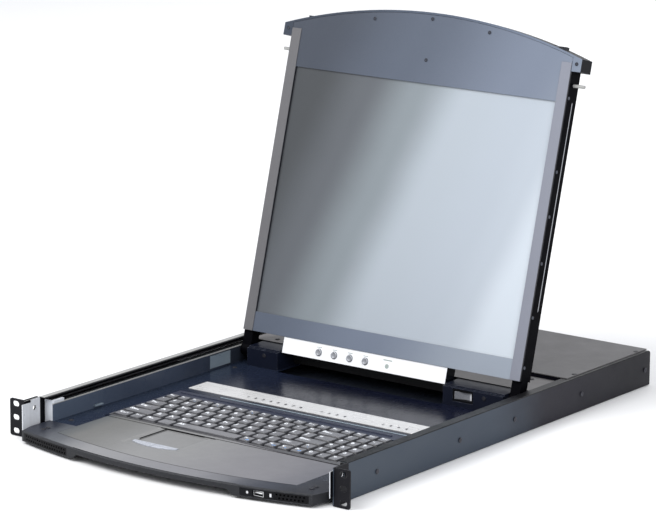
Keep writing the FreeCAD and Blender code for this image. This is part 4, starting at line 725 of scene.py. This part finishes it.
@dataclass
class Solid:
    """A closed surface that is still being worked out.

    Attributes:
        points: Its points.
        faces: Numbers of each face's points.
    """

    points: Array
    faces: list[tuple[int, ...]]

    @classmethod
    def lofted(cls, rings: Array) -> "Solid":
        """Skin over stacks of rings, closed at both ends by a fan to the end ring's middle.

        Args:
            rings: Points of K stacks of M rings of N points, shape (K, M, N, 3).

        Returns:
            One Solid that holds all K skins.
        """
        count, levels, around, _ = rings.shape
        ends = np.stack([rings[:, 0].mean(axis=1), rings[:, -1].mean(axis=1)], axis=1)
        points = np.concatenate([rings.reshape(count, levels * around, 3), ends], axis=1)
        column = np.arange(around)
        nearby = (column + 1) % around
        row = np.arange(levels - 1)[:, None] * around
        here, beside = row + column, row + nearby
        quads = np.stack([here, beside, beside + around, here + around], axis=-1).reshape(-1, 4)
        last, low, high = (levels - 1) * around, levels * around, levels * around + 1
        fans = np.concatenate([grid(nearby, column, low), grid(last + column, last + nearby, high)])
        shift = np.arange(count)[:, None, None] * points.shape[1]
        faces = [tuple(face) for face in (quads + shift).reshape(-1, 4).tolist()]
        faces += [tuple(face) for face in (fans + shift).reshape(-1, 3).tolist()]
        return cls(points.reshape(-1, 3), faces)

    @classmethod
    def joined(cls, parts: list["Solid"]) -> "Solid":
        """Several solids as one.

        Args:
            parts: The solids.

        Returns:
            All their points and faces, in order.
        """
        faces, start = [], 0
        for part in parts:
            faces += [tuple(index + start for index in face) for face in part.faces]
            start += len(part.points)
        return cls(np.concatenate([part.points for part in parts]), faces)

    def piece(self, name: str, finish: Finish, body: str, smooth: bool = True) -> bpy.types.Object:
        """Makes the mesh object, points its faces outward, dresses it and lets it ride.

        Args:
            name: Object name.
            finish: Its finish.
            body: The body that carries it.
            smooth: Whether faces are shaded smooth.

        Returns:
            The object.
        """
        mesh = bpy.data.meshes.new(name)
        mesh.from_pydata(self.points.tolist(), [], self.faces)
        work = bmesh.new()
        work.from_mesh(mesh)
        bmesh.ops.recalc_face_normals(work, faces=work.faces)
        work.to_mesh(mesh)
        work.free()
        mesh.polygons.foreach_set("use_smooth", [smooth] * len(mesh.polygons))
        made = bpy.data.objects.new(name, mesh)
        bpy.context.scene.collection.objects.link(made)
        made.data.materials.append(finish.material())
        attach(made, body)
        LOG.info("built %s: %d faces on %s", name, len(self.faces), body)
        return made


def rounded_outline(width: Array, depth: Array, corner: Array, steps: int = 4) -> Array:
    """Rounded rectangles about the middle, one for each width and depth.

    Each corner is a quarter circle: the corner's centre plus the radius times cosine and sine.

    Args:
        width: Widths, any shape.
        depth: Depths, same shape.
        corner: Corner radii, same shape.
        steps: Points in each quarter circle.

    Returns:
        Points, shape (..., 4 * steps, 2), counter-clockwise.
    """
    quarter = np.repeat(np.arange(4), steps)
    angle = (quarter + np.tile(np.linspace(0, 1, steps), 4)) * math.pi / 2
    side_x = np.array([1, -1, -1, 1])[quarter]
    side_y = np.array([1, 1, -1, -1])[quarter]
    width, depth, corner = width[..., None], depth[..., None], corner[..., None]
    across = side_x * (width / 2 - corner) + corner * np.cos(angle)
    along = side_y * (depth / 2 - corner) + corner * np.sin(angle)
    return np.stack([across, along], axis=-1)


def solids_of(node: str) -> list[Array]:
    """Points of each separate solid of a CAD node, from left to right.

    Points at one place are merged, then each takes the lowest label among its triangles until none
    changes.

    Args:
        node: Name of the CAD node.

    Returns:
        One array of points for each solid.
    """
    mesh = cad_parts[node].data
    places = np.empty(len(mesh.vertices) * 3, np.float32)
    mesh.vertices.foreach_get("co", places)
    corners = np.empty(len(mesh.loops), np.int32)
    mesh.loops.foreach_get("vertex_index", corners)
    points, merged = np.unique(np.round(places.reshape(-1, 3), 6), axis=0, return_inverse=True)
    triangles = merged.reshape(-1)[corners.reshape(-1, 3)]
    label = np.arange(len(points))
    while True:
        lowest = label[triangles].min(axis=1)
        spread = label.copy()
        np.minimum.at(spread, triangles.ravel(), np.repeat(lowest, 3))
        spread = spread[spread]
        if (spread == label).all():
            break
        label = spread
    groups = [points[label == value] for value in np.unique(label)]
    return sorted(groups, key=lambda group: float(group[:, 0].mean()))


def dress(nodes: dict[str, Finish]) -> None:
    """Gives each CAD node its finish.

    Args:
        nodes: Node name to finish.
    """
    for name, finish in nodes.items():
        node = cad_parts[name]
        node.data.materials.clear()
        node.data.materials.append(finish.material())
        LOG.info("dressed %s in %s", name, finish.name)


def both(name: str, finish: Finish) -> dict[str, Finish]:
    """The left and the right node of a name, each with the same finish."""
    return {f"{name}_left": finish, f"{name}_right": finish}


@dataclass
class CrossScrews:
    """Pan-head screws with a cross recess, in place of plain head solids.

    The head is a surface of revolution, and the recess takes away a cross-shaped hollow that fades
    out towards its rim.

    Attributes:
        node: CAD node of the plain heads.
        body: Body that carries them.
        finish: Their finish.
        around: Points round each head.
        recess: Depth of the cross, as a share of half the height.
        arm: Where its arms end and how far they fade out before that, as shares of the radius.
        flank: Half width of an arm to the end of its slope, and the slope's own width, likewise.
        profile: Radius and height at each ring from the rim inwards, as shares.
    """

    node: str
    body: str
    finish: Finish
    around: int = 32
    recess: float = 0.55
    arm: tuple[float, float] = (0.66, 0.12)
    flank: tuple[float, float] = (0.144, 0.09)
    profile: tuple[tuple[float, float], ...] = (
        (1.0, 0.0), (1.0, 0.55), (0.93, 0.78), (0.78, 0.93), (0.62, 0.98), (0.5, 1.0), (0.38, 1.0),
        (0.25, 1.0), (0.12, 1.0),
    )

    def build(self) -> None:
        """Fits one domed head to each plain solid and hides the node."""
        share, rise = np.array(self.profile).T
        share = np.concatenate([share[::-1], share])[:, None]
        rise = np.concatenate([-rise[::-1], rise])[:, None]
        cosine, sine = circle(self.around)
        across, up = share * cosine, share * sine
        aside = np.minimum(np.abs(across), np.abs(up))
        cross = np.clip((self.flank[0] - aside) / self.flank[1], 0, 1)
        cross = cross * np.clip((self.arm[0] - share) / self.arm[1], 0, 1)
        stacks = []
        for points in solids_of(self.node):
            middle = sum(extent(points)) / 2
            _, _, axes = np.linalg.svd(points - points.mean(axis=0))
            flat = (points - middle) @ axes.T
            radius, half = np.abs(flat[:, :2]).max(), np.abs(flat[:, 2]).max()
            local = grid(across * radius, up * radius, rise * half * (1 - self.recess * cross))
            stacks.append(local @ axes + middle)
        heads = Solid.lofted(np.array(stacks))
        made = heads.piece(self.node.replace("screws", "cross_screws"), self.finish, self.body)
        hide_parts(self.node)


# ---------------------------------------------------------------- sub-assemblies


@dataclass
class Chassis:
    """Fixed outer channels, ears, brackets and the rear electronics box.

    Attributes:
        finishes: Node name to finish.
    """

    finishes: ClassVar[dict[str, Finish]] = {
        "side_channel_left": Shop.CHANNEL,
        "side_channel_right": Shop.SIDE,
        **both("rack_ear", Shop.EAR),
        "latch_brackets": Shop.BRACKET,
        **both("slide_outer", Shop.SLIDE),
        "rear_base": Shop.STEEL,
        "rear_cover": Shop.COVER,
        "main_board": Shop.BOARD,
        "power_supply": Shop.SUPPLY,
        "power_inlet": Shop.SOCKET,
        "rear_ports": Shop.SOCKET,
    }

    def build(self) -> None:
        """Dresses the fixed parts and fits their screws."""
        dress(self.finishes)
        CrossScrews("chassis_screws", "chassis", Shop.FASTENER).build()


@dataclass
class Slides:
    """Middle members with their ball cages.

    Attributes:
        ball_radius: Radius of a bearing ball, in metres.
        ball_pitch: Distance between balls along a cage, in metres.
    """

    ball_radius: float = 1.6 * MM
    ball_pitch: float = 9.0 * MM

    def build(self) -> None:
        """Dresses the members and lays a row of balls along every cage."""
        dress(both("slide_middle", Shop.SLIDE) | {"ball_cages": Shop.BRIGHT})
        self.balls()

    def balls(self) -> None:
        """Small spheres along the cages: radius times sine and cosine of latitude and longitude."""
        latitude = (np.linspace(-0.5, 0.5, 7)[1:-1] * math.pi)[:, None]
        cosine, sine = circle(8)
        ball = self.ball_radius * grid(np.cos(latitude) * cosine, np.cos(latitude) * sine, np.sin(latitude))
        centres = []
        for points in solids_of("ball_cages"):
            low, high = extent(points)
            middle = (low + high) / 2
            rows = np.arange(low[1] + self.ball_pitch, high[1] - self.ball_pitch / 2, self.ball_pitch)
            centres.append(grid(middle[0], rows, middle[2]))
        rings = np.concatenate(centres)[:, None, None] + ball
        Solid.lofted(rings).piece("bearing_balls", Shop.BRIGHT, "slide_middles")


@dataclass
class KeyRow:
    """One row of keycaps that moves together, with the letters on them.

    Each cap is a stack of rounded rectangles: a narrow stem, the skirt that draws in towards the top,
    a rolled edge, and a top hollowed by depth times one minus the square of the place across it.

    Attributes:
        node: CAD node and body of the row.
        legends: Marks from left to right; an empty string leaves a key bare.
        blue: Small second marks, by the key's place in the row.
        small: Height of a mark longer than one character, in metres.
        middle: Height of such a mark on a wide cap, in metres.
        large: Height of a single character, in metres.
        wide: Width from which a cap's top counts as wide, in metres.
        capital: Height of a capital, in letter heights.
        cap_height: Height of a cap above its stem, in metres.
        draw: How much narrower the top is than the skirt, in metres.
        dish: Depth of the hollow, in metres.
        lift: Half the thickness of a mark, in metres.
        corners: Corner radius of each level of a cap, as a share of its narrower side.
    """

    node: str
    legends: list[str]
    blue: dict[int, str] = field(default_factory=dict)
    small: float = 5.0 * MM
    middle: float = 7.2 * MM
    large: float = 8.2 * MM
    wide: float = 15.5 * MM
    capital: float = 0.72
    cap_height: float = 5.0 * MM
    draw: float = 3.4 * MM
    dish: float = 0.45 * MM
    lift: float = 0.04 * MM
    corners: tuple[float, ...] = (0.2, 0.2, 0.06, 0.06, 0.08, 0.12, 0.14, 0.15, 0.15, 0.18)

    def boxes(self) -> tuple[Array, Array]:
        """Lowest and highest corners of every key, from left to right."""
        low, high = zip(*(extent(key) for key in solids_of(self.node)))
        return np.array(low), np.array(high)

    def hollow(self, across: Array) -> Array:
        """Fall of the top below its rim at a place across it, from -1 to 1."""
        return self.dish * (1 - np.clip(np.abs(across), 0, 1) ** 2)

    def caps(self) -> None:
        """Skins all caps of the row as one object that stands for it."""
        low, high = self.boxes()
        bottom, top, skirt = low[:, 2], high[:, 2], high[:, 2] - self.cap_height
        plan = high[:, :2] - low[:, :2]
        stem = plan.min(axis=1) * 0.3
        draw = self.draw
        # From the stem up: how much narrower than the skirt each level is, then how high it lies.
        cuts = (1.0 * MM, 0.0, 0.3 * MM, draw * 0.82, draw * 0.94, draw * 1.15, draw * 1.5)
        widths, depths = (
            np.stack([stem, stem, *(side - cut for cut in cuts), (side - draw) * 0.45], axis=1)
            for side in plan.T
        )
        foot = skirt + 0.4 * MM
        rim = (top - 0.75 * MM, top - 0.2 * MM, top, top, top)
        heights = np.stack([bottom, foot, foot, skirt, skirt + 1.2 * MM, *rim], axis=1)
        outline = rounded_outline(widths, depths, np.minimum(widths, depths) * np.array(self.corners))
        share = outline[..., 0] / ((plan[:, 0] - draw) / 2)[:, None, None]
        fade = np.array([0.0] * 8 + [0.75, 1.0])[:, None]
        middle = ((low + high) / 2)[:, None, None]
        rings = grid(
            outline[..., 0] + middle[..., 0],
            outline[..., 1] + middle[..., 1],
            heights[:, :, None] - self.hollow(share) * fade,
        )
        made = Solid.lofted(rings).piece(self.node.replace("keys", "caps"), Shop.KEY, self.node)
        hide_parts(self.node)

    def marks(self, second: bool) -> None:
        """Letters lying on the caps, each a thin slab that follows the hollow.

        Args:
            second: Whether to make the small blue marks rather than the white ones.
        """
        placed = []
        for index, (low, high) in enumerate(zip(*self.boxes())):
            text = self.blue.get(index, "") if second else self.legends[index]
            if not text:
                continue
            width = high[0] - low[0] - self.draw
            size = self.small if second or len(text) > 1 else self.large
            if not second and len(text) > 1 and width > self.wide:
                size = self.middle
            left = low[0] + self.draw / 2 + (0.45 * width if second else 0.8 * MM)
            back = high[1] - self.draw / 2 - (0.8 * self.large if second else 0.6 * MM)
            letter = Lettering.slab(text)
            across, along, up = letter.points.T
            across = across * size + left
            share = (across - (low[0] + high[0]) / 2) / (width / 2)
            height = high[2] - self.hollow(share) + up * self.lift + self.lift * 0.5
            placed.append(Solid(grid(across, (along - self.capital) * size + back, height), letter.faces))
        if placed:
            name = self.node.replace("keys", "blue_marks" if second else "marks")
            finish = Shop.LEGEND_BLUE if second else Shop.LEGEND
            Solid.joined(placed).piece(name, finish, self.node, smooth=False)


class Lettering:
    """Thin slabs in the shape of letters, one unit high.

    Attributes:
        bold: How far each stroke is fattened, in letter heights.
        made: Slabs made so far.
    """

    bold: ClassVar[float] = 0.045
    made: ClassVar[dict[str, Solid]] = {}

    @classmethod
    def slab(cls, text: str) -> Solid:
        """Turns a word into a closed slab two units thick, from the plain built-in face.

        Args:
            text: The word.

        Returns:
            Its points and faces, in letter heights.
        """
        if text in cls.made:
            return cls.made[text]
        curve = bpy.data.curves.new("letters", "FONT")
        curve.body, curve.extrude, curve.offset, curve.resolution_u = text, 1.0, cls.bold, 2
        holder = bpy.data.objects.new("letters", curve)
        bpy.context.scene.collection.objects.link(holder)
        bpy.context.view_layer.update()
        solid = holder.evaluated_get(bpy.context.evaluated_depsgraph_get())
        mesh = solid.to_mesh()
        places = np.empty(len(mesh.vertices) * 3)
        mesh.vertices.foreach_get("co", places)
        faces = [tuple(face.vertices) for face in mesh.polygons]
        solid.to_mesh_clear()
        bpy.data.objects.remove(holder)
        bpy.data.curves.remove(curve)
        cls.made[text] = Solid(places.reshape(-1, 3), faces)
        return cls.made[text]


@dataclass
class Keyboard:
    """Keyboard tray, frame and its six rows of keys.

    Attributes:
        rows: Marks of each row's keys.
        blue: Second marks of each row, by the key's place.
    """

    rows: ClassVar[dict[str, list[str]]] = {
        "bottom_row_keys": ["Ctrl", "Win", "Alt", "", "Alt", "Fn", "Ctrl", "<", "v", ">", "0", ".", "+"],
        "shift_row_keys": ["Shift", *"ZXCVBNM,./", "Shift", "^", "1", "2", "3"],
        "home_row_keys": ["Caps", *"ASDFGHJKL;'", "Enter", "4", "5", "6"],
        "tab_row_keys": ["Tab", *"QWERTYUIOP[]", "=", "7", "8", "9"],
        "number_row_keys": ["`", *"1234567890-=", "Back", "/", "*", "-"],
        "function_row_keys": ["Esc", *[f"F{number}" for number in range(1, 13)], "Prt", "Scr", "Brk", "Ins",
                              "Del", "End"],
    }
    blue: ClassVar[dict[str, dict[int, str]]] = {
        "bottom_row_keys": {5: "Fn", 7: "<<", 8: "+", 9: ">>"},
        "shift_row_keys": {12: "-"},
        "function_row_keys": {2: "x", 4: "o", 6: "-", 7: "+"},
    }

    def build(self) -> None:
        """Dresses tray and frame, then builds every row."""
        dress({"keyboard_base": Shop.TRAY, "keyboard_bezel": Shop.BOARD_FRAME})
        for node, legends in self.rows.items():
            row = KeyRow(node, legends, self.blue.get(node, {}))
            row.caps()
            row.marks(second=False)
            row.marks(second=True)


@dataclass
class PortStrip:
    """Brushed plate behind the keys, with numbers beside its lamps.

    Attributes:
        mark: Height of a number, in metres.
        pitch: Distance between numbers, in metres.
        inset: Their distance from the plate's front edge, in metres.
        lift: Half the thickness of a number, in metres.
        ends: Where each row of numbers starts, as shares of the plate's length, with its numbers.
    """

    mark: float = 5.6 * MM
    pitch: float = 11 * MM
    inset: float = 8 * MM
    lift: float = 0.04 * MM
    ends: tuple[tuple[float, str], ...] = ((0.24, "12345678"), (0.56, "1234"), (0.82, "1234"))

    def build(self) -> None:
        """Dresses the plate and sets its numbers on it."""
        dress({"port_strip": Shop.PORT_PLATE})
        low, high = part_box("port_strip")
        size = np.array([self.mark, self.mark, self.lift])
        placed = []
        for share, numbers in self.ends:
            for index, text in enumerate(numbers):
                letter = Lettering.slab(text)
                left = low.x + share * (high.x - low.x) + index * self.pitch
                corner = np.array([left, low.y + self.inset, high.z + 1.5 * self.lift])
                placed.append(Solid(letter.points * size + corner, letter.faces))
        Solid.joined(placed).piece("port_numbers", Shop.INK, "drawer", smooth=False)


@dataclass
class ShadeBeads:
    """Black beads along the seams of the deck, a painted shade in the touchpad's recess and in the gaps round
    the keys and the palm rest, and a pale rib.

    Attributes:
        proud: How far a bead stands above its ground, in metres.
        sunk: How deep it reaches below, in metres.
        width: Width of a bead, in metres.
        pad_inset: How far the touchpad's beads stop inside its left, right and front, in metres.
        palm_arc: Centre, radius and half length of the palm rest's front edge, in metres.
        rib: Left end, right end, middle line and height of the pale rib behind the keys, in metres.
    """

    proud: float = 0.12 * MM
    sunk: float = 0.4 * MM
    width: float = 1.3 * MM
    pad_inset: Triple = (4.2 * MM, 9 * MM, 20 * MM)
    palm_arc: Triple = (667 * MM, 688.3 * MM, 169.4 * MM)
    rib: tuple[float, float, float, float] = (-118 * MM, 158 * MM, 231 * MM, 0.7 * MM)

    def build(self) -> None:
        """Lays the black painted-shade beads round the touchpad and the keys, along the palm rest, and the
        rib.
        """
        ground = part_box("palm_rest")[1].z
        pad_low, pad_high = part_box("touchpad")
        keys_low, keys_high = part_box("keyboard_bezel")
        left, right, front = self.pad_inset
        pad_left, pad_right, pad_front = pad_low.x + left, pad_high.x - right, pad_low.y + front
        width = self.width
        dark = [
            (pad_left - width, pad_front, pad_left, pad_high.y + width),
            (pad_left - width, pad_high.y - 0.6 * width, pad_right, pad_high.y + width),
            (keys_low.x - width, keys_low.y - width, keys_high.x, keys_low.y),
            (keys_low.x - width, keys_low.y - width, keys_low.x, keys_high.y),
            (keys_low.x - width, keys_high.y, keys_high.x, keys_high.y + width),
        ]
        self.bars("shade_beads", Shop.PAINTED_SHADE_BLACK, np.array(dark), ground, self.proud)
        left, right, middle, height = self.rib
        pale = np.array([[left, middle - width / 2, right, middle + width / 2]])
        self.bars("keyboard_rib", Shop.RUNNER, pale, ground, height)
        self.bead(ground)

    def bars(self, name: str, finish: Finish, sides: Array, ground: float, height: float) -> None:
        """Straight beads: rounded rectangles stacked upwards, drawn in at the top.

        Args:
            name: Piece name.
            finish: Its finish.
            sides: Left, front, right and back of each bead, shape (K, 4).
            ground: Height they lie on.
            height: How far they stand above it.
        """
        shrink = np.array([0.0, 0.0, 0.2]) * self.width
        size = sides[:, 2:] - sides[:, :2]
        widths, depths = size[:, :1] - shrink, size[:, 1:] - shrink
        outline = rounded_outline(widths, depths, np.full_like(widths, 0.25 * self.width), 3)
        outline += ((sides[:, :2] + sides[:, 2:]) / 2)[:, None, None]
        heights = ground + np.array([-self.sunk, height * 0.7, height])
        rings = grid(outline[..., 0], outline[..., 1], heights[:, None])
        Solid.lofted(rings).piece(name, finish, "drawer", smooth=False)

    def bead(self, ground: float) -> None:
        """Thin round black bead along the palm rest's front edge, a painted shade in the gap there; a circle
        carried along the arc.

        Args:
            ground: Height of the palm rest's top.
        """
        centre, radius, half = self.palm_arc
        across = np.linspace(-half, half, 60)[:, None]
        front = centre - np.sqrt(radius**2 - across**2)
        cosine, sine = circle(8)
        depth = self.sunk * 0.5
        rings = grid(across, front + 0.4 * self.width * cosine, ground - depth + (depth + self.proud) * sine)
        Solid.lofted(rings[None]).piece("palm_edge_shade_bead", Shop.PAINTED_SHADE_BLACK, "drawer")


@dataclass
class Drawer:
    """Sliding tray with deck, handle, palm rest and hinge blocks.

    Attributes:
        rim: Depth of the bright rim at a socket's mouth, in metres.
        finishes: Node name to finish.
    """

    rim: float = 0.5 * MM
    finishes: ClassVar[dict[str, Finish]] = {
        **both("slide_inner", Shop.RUNNER),
        "drawer_tray": Shop.TRAY_STEEL,
        "deck_plate": Shop.DECK,
        "front_handle": Shop.HANDLE,
        **both("grille", Shop.SOCKET),
        "end_plates": Shop.PLATE,
        "palm_rest": Shop.PALM,
        "touchpad": Shop.PAD,
        **both("touchpad_button", Shop.CLICK),
        **both("hinge_block", Shop.BLOCK),
        "switch_frame": Shop.SOCKET,
        "power_rocker": Shop.ROCKER,
        "rear_deck": Shop.BEIGE,
        "hinge_pins": Shop.BRIGHT,
    }

    def build(self) -> None:
        """Dresses the drawer's parts and fits its screws."""
        dress(self.finishes)
        self.ports()
        CrossScrews("drawer_screws", "drawer", Shop.FASTENER).build()

    def ports(self) -> None:
        """Dresses the front sockets and sets a pale tongue in the larger one, a slab with drawn-in ends."""
        solids = sorted(solids_of("front_ports"), key=lambda solid: -float(np.ptp(solid[:, 0])))
        mouths = [extent(solid) for solid in solids[1:]]
        backs = [np.array([high[0], low[1] + self.rim, high[2]]) for low, high in mouths]
        boxes = tuple((tuple(low.tolist()), tuple(back.tolist())) for (low, _), back in zip(mouths, backs))
        finish = InlaidFinish(
            "front_port_mouldings", "dark_plastic", "505056", "0a0b0f", "101115", rough=0.35, level=0.12,
            inlay=Shop.SHELL, boxes=boxes,
        )
        dress({"front_ports": finish})
        low, high = mouths[0]
        middle, size = (low + high) / 2, high - low
        steps = np.array([0.9, 1.0, 1.0, 0.9])
        outline = rounded_outline(size[0] * 0.72 * steps, size[2] * 0.26 * steps, size[2] * 0.08 * steps)
        rings = grid(
            middle[0] + outline[..., 0],
            low[1] + (size[1] * np.array([0.06, 0.1, 0.88, 0.9]))[:, None],
            middle[2] + size[2] * 0.1 + outline[..., 1],
        )
        Solid.lofted(rings[None]).piece("socket_tongue", Shop.SHELL, "drawer")


@dataclass
class Lid:
    """Display lid with its bezel, panel, trims, upper handle, control strip and catches.

    Attributes:
        buttons: Nodes and bodies of the control buttons.
        over: Height of the bars above the middles of the buttons and the lamp, in metres.
        bars: Width and height of a button's bar, then of the lamp's, in metres.
        lens: Diameter of the lamp's lens and how far it sits below the middle, in metres.
        seam: Where the side seams start and end along the lid, in metres.
        seam_depth: How far they lie behind the hinge line, in metres.
        seam_radius: Radius of their rolled lip, in metres.
        finishes: Node name to finish.
    """

    buttons: tuple[str, ...] = tuple(f"control_button_{number}" for number in range(1, 5))
    over: float = 6.2 * MM
    bars: tuple[tuple[float, float], ...] = ((7 * MM, 0.8 * MM), (13 * MM, 1.4 * MM))
    lens: tuple[float, float] = (5.6 * MM, 1 * MM)
    seam: tuple[float, float] = (105 * MM, 350 * MM)
    seam_depth: float = 5.0 * MM
    seam_radius: float = 0.7 * MM
    finishes: ClassVar[dict[str, Finish]] = {
        "lid_back": Shop.SHEER,
        "lid_bezel": Shop.BEZEL,
        "lcd_panel": Shop.SCREEN,
        "lid_side_trims": Shop.TRIM,
        "upper_handle": Shop.CAP,
        "control_strip": Shop.STRIP,
        "hinge_arms": Shop.SHEER,
        **both("latch_pin", Shop.CATCH),
    }

    def build(self) -> None:
        """Dresses the lid, fits its screws and builds the buttons, marks and seams."""
        dress(self.finishes)
        self.seams()
        self.captions()
        CrossScrews("lid_screws", "lid", Shop.LID_SCREW).build()
        for node in self.buttons:
            self.button(node)

    def seams(self) -> None:
        """Rolled lips where the lid's shells meet on its sides, painted pale as a highlight.

        Each is a circle of cosine and sine carried along the side, and pressed flat at both ends.
        """
        low, high = self.seam
        side = LID.read(solids_of("lid_back")[0])[:, 0].max()
        along = np.array([low, low, low + 2 * MM, high - 2 * MM, high, high])[:, None]
        swell = np.array([0.0, 0.4, 1.0, 1.0, 0.4, 0.0])[:, None] * self.seam_radius
        cosine, sine = circle(10)
        sign = np.array([-1, 1])[:, None, None]
        rings = grid(sign * (side + 0.4 * swell * cosine), along, self.seam_depth + swell * sine)
        Solid.lofted(LID.place(rings)).piece("lid_seams", Shop.SEAM_HIGHLIGHT, "lid")

    def captions(self) -> None:
        """Pale bars over the buttons and lamp, and the lamp's lens, thin rounded slabs on the strip."""
        middles = [sum(extent(LID.read(solids_of(node)[0])))[:2] / 2 for node in self.buttons]
        face = LID.read(solids_of("control_strip")[0])[:, 2].min()
        right, along = middles[-1]
        right += 1.4 * (middles[1][0] - middles[0][0])
        small, large = self.bars
        lens, below = self.lens
        spots = [(middle[0], middle[1] + self.over, *small) for middle in middles]
        spots += [(right, along + self.over, *large), (right, along - below, lens, lens)]
        size = np.array(spots)
        outline = rounded_outline(size[:, 2], size[:, 3], size[:, 3] * 0.49)[:, None]
        outline = size[:, None, None, :2] + outline * np.array([1.0, 1.0, 0.9])[:, None, None]
        depth = (face - np.array([0.0, 0.05, 0.08]) * MM)[:, None]
        rings = LID.place(grid(outline[..., 0], outline[..., 1], depth))
        Solid.lofted(rings).piece("strip_marks", Shop.CAPTION, "lid", smooth=False)

    def button(self, node: str) -> None:
        """Round push button turned from a profile: barrel, rolled rim and a hollowed face.

        Args:
            node: CAD node and body of the button.
        """
        low, high = extent(LID.read(solids_of(node)[0]))
        middle = (low + high) / 2
        # Radius and height of each ring, as shares of the button's own.
        radius = np.array([0.4, 1.0, 1.0, 0.97, 0.9, 0.8, 0.6, 0.3])[:, None] * (high[0] - low[0]) / 2
        through = np.array([0.0, 0.0, 0.8, 0.93, 0.985, 1.0, 0.96, 0.93])[:, None] * (high[2] - low[2])
        cosine, sine = circle(40)
        rings = LID.place(grid(middle[0] + radius * cosine, middle[1] + radius * sine, high[2] - through))
        made = Solid.lofted(rings[None]).piece(node.replace("control", "turned"), Shop.BUTTON, node)
        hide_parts(node)


# ---------------------------------------------------------------- studio


@dataclass(frozen=True)
class SoftLight:
    """Square light aimed at the drawer.

    Attributes:
        name: Light name.
        place: Where it hangs, in metres.
        size: Side of the square, in metres.
        power: Power, in watts.
    """

    name: str
    place: Triple
    size: float
    power: float

    def hang(self, target: Vector) -> None:
        """Adds the light and turns it to a target.

        Args:
            target: Where it points, in metres.
        """
        lamp = bpy.data.lights.new(self.name, "AREA")
        lamp.shape, lamp.size, lamp.energy = "SQUARE", self.size, self.power
        holder = bpy.data.objects.new(self.name, lamp)
        holder.location = self.place
        holder.rotation_euler = (target - Vector(self.place)).to_track_quat("-Z", "Y").to_euler()
        bpy.context.scene.collection.objects.link(holder)


@dataclass(frozen=True)
class Viewpoint:
    """Camera direction, distance and framing.

    Attributes:
        azimuth: Turn to the right of straight ahead, in degrees.
        elevation: Angle above the horizon, in degrees.
        roll: Turn about the line of sight, in degrees.
        offset: Camera's offset to the right and up across the view, in metres.
        distance: Camera's distance along the line of sight, in metres.
        lens: Focal length on the sensor, in millimetres.
        sensor: Width of the sensor, in millimetres.
        reach: Distance past which nothing is drawn, in metres.
    """

    azimuth: float = 36.716
    elevation: float = 12.950
    roll: float = 0.339
    offset: tuple[float, float] = (0.170018, 0.213292)
    distance: float = 3.902567
    lens: float = 194.13
    sensor: float = 36.0
    reach: float = 100.0

    def stand(self) -> None:
        """Creates the camera and makes it the scene's."""
        turn, rise, roll = (math.radians(angle) for angle in (self.azimuth, self.elevation, self.roll))
        back = Vector((math.sin(turn) * math.cos(rise), -math.cos(turn) * math.cos(rise), math.sin(rise)))
        right = Vector((math.cos(turn), math.sin(turn), 0.0))
        up = back.cross(right)
        right, up = right * math.cos(roll) + up * math.sin(roll), up * math.cos(roll) - right * math.sin(roll)
        lens = bpy.data.cameras.new("camera")
        lens.lens, lens.sensor_width, lens.clip_end = self.lens, self.sensor, self.reach
        camera = bpy.data.objects.new("camera", lens)
        spot = right * self.offset[0] + up * self.offset[1] + back * self.distance
        camera.matrix_world = Matrix.Translation(spot) @ Matrix((right, up, back)).transposed().to_4x4()
        bpy.context.scene.collection.objects.link(camera)
        bpy.context.scene.camera = camera


@dataclass
class Studio:
    """Pale floor, soft lights and an even pale surround.

    Attributes:
        floor_half: Half the floor's side, in metres.
        target: Where the lights point, in metres.
        sky: Linear colour of the surround.
        glow: Its strength.
        lights: The soft lights.
    """

    floor_half: float = 40.0
    target: Triple = (0.0, 0.3, 0.1)
    sky: Colour = (0.93, 0.95, 1.0, 1.0)
    glow: float = 0.65
    lights: tuple[SoftLight, ...] = (
        SoftLight("key_light", (-1.4, -2.2, 3.0), 2.4, 130.0),
        SoftLight("fill_light", (3.0, -1.4, 1.8), 2.4, 60.0),
        SoftLight("back_light", (-0.5, 3.2, 2.6), 2.2, 50.0),
    )

    def build(self) -> None:
        """Lays the floor, hangs the lights, sets the surround and stands the camera."""
        self.floor()
        for light in self.lights:
            light.hang(Vector(self.target))
        world = bpy.data.worlds.new("studio")
        world.use_nodes = True
        sky = world.node_tree.nodes["Background"]
        sky.inputs["Color"].default_value = self.sky
        sky.inputs["Strength"].default_value = self.glow
        bpy.context.scene.world = world
        bpy.context.scene.view_settings.view_transform = "Standard"
        Viewpoint().stand()

    def floor(self) -> None:
        """Flat pale sheet just under the lowest part."""
        half, level = self.floor_half, CAD_BOX[0][2] - 0.5 * MM
        mesh = bpy.data.meshes.new("floor")
        corners = [(-half, -half, level), (half, -half, level), (half, half, level), (-half, half, level)]
        mesh.from_pydata(corners, [], [(0, 1, 2, 3)])
        recipe = Recipe("pale_floor")
        pale = recipe.blend(recipe.noise(3.0), (0.9, 0.9, 0.9, 1.0), (0.92, 0.92, 0.92, 1.0))
        recipe.surface(Base_Color=pale, Roughness=0.9, Specular_IOR_Level=0.1)
        mesh.materials.append(recipe.material)
        sheet = bpy.data.objects.new("floor", mesh)
        bpy.context.scene.collection.objects.link(sheet)


def main() -> None:
    """Builds every sub-assembly in order."""
    for assembly in (Chassis(), Slides(), Drawer(), Keyboard(), PortStrip(), ShadeBeads(), Lid(), Studio()):
        assembly.build()
        LOG.info("finished %s", type(assembly).__name__)


if __name__ == "__main__":
    logging.basicConfig(level=logging.INFO, format="%(message)s")
    main()
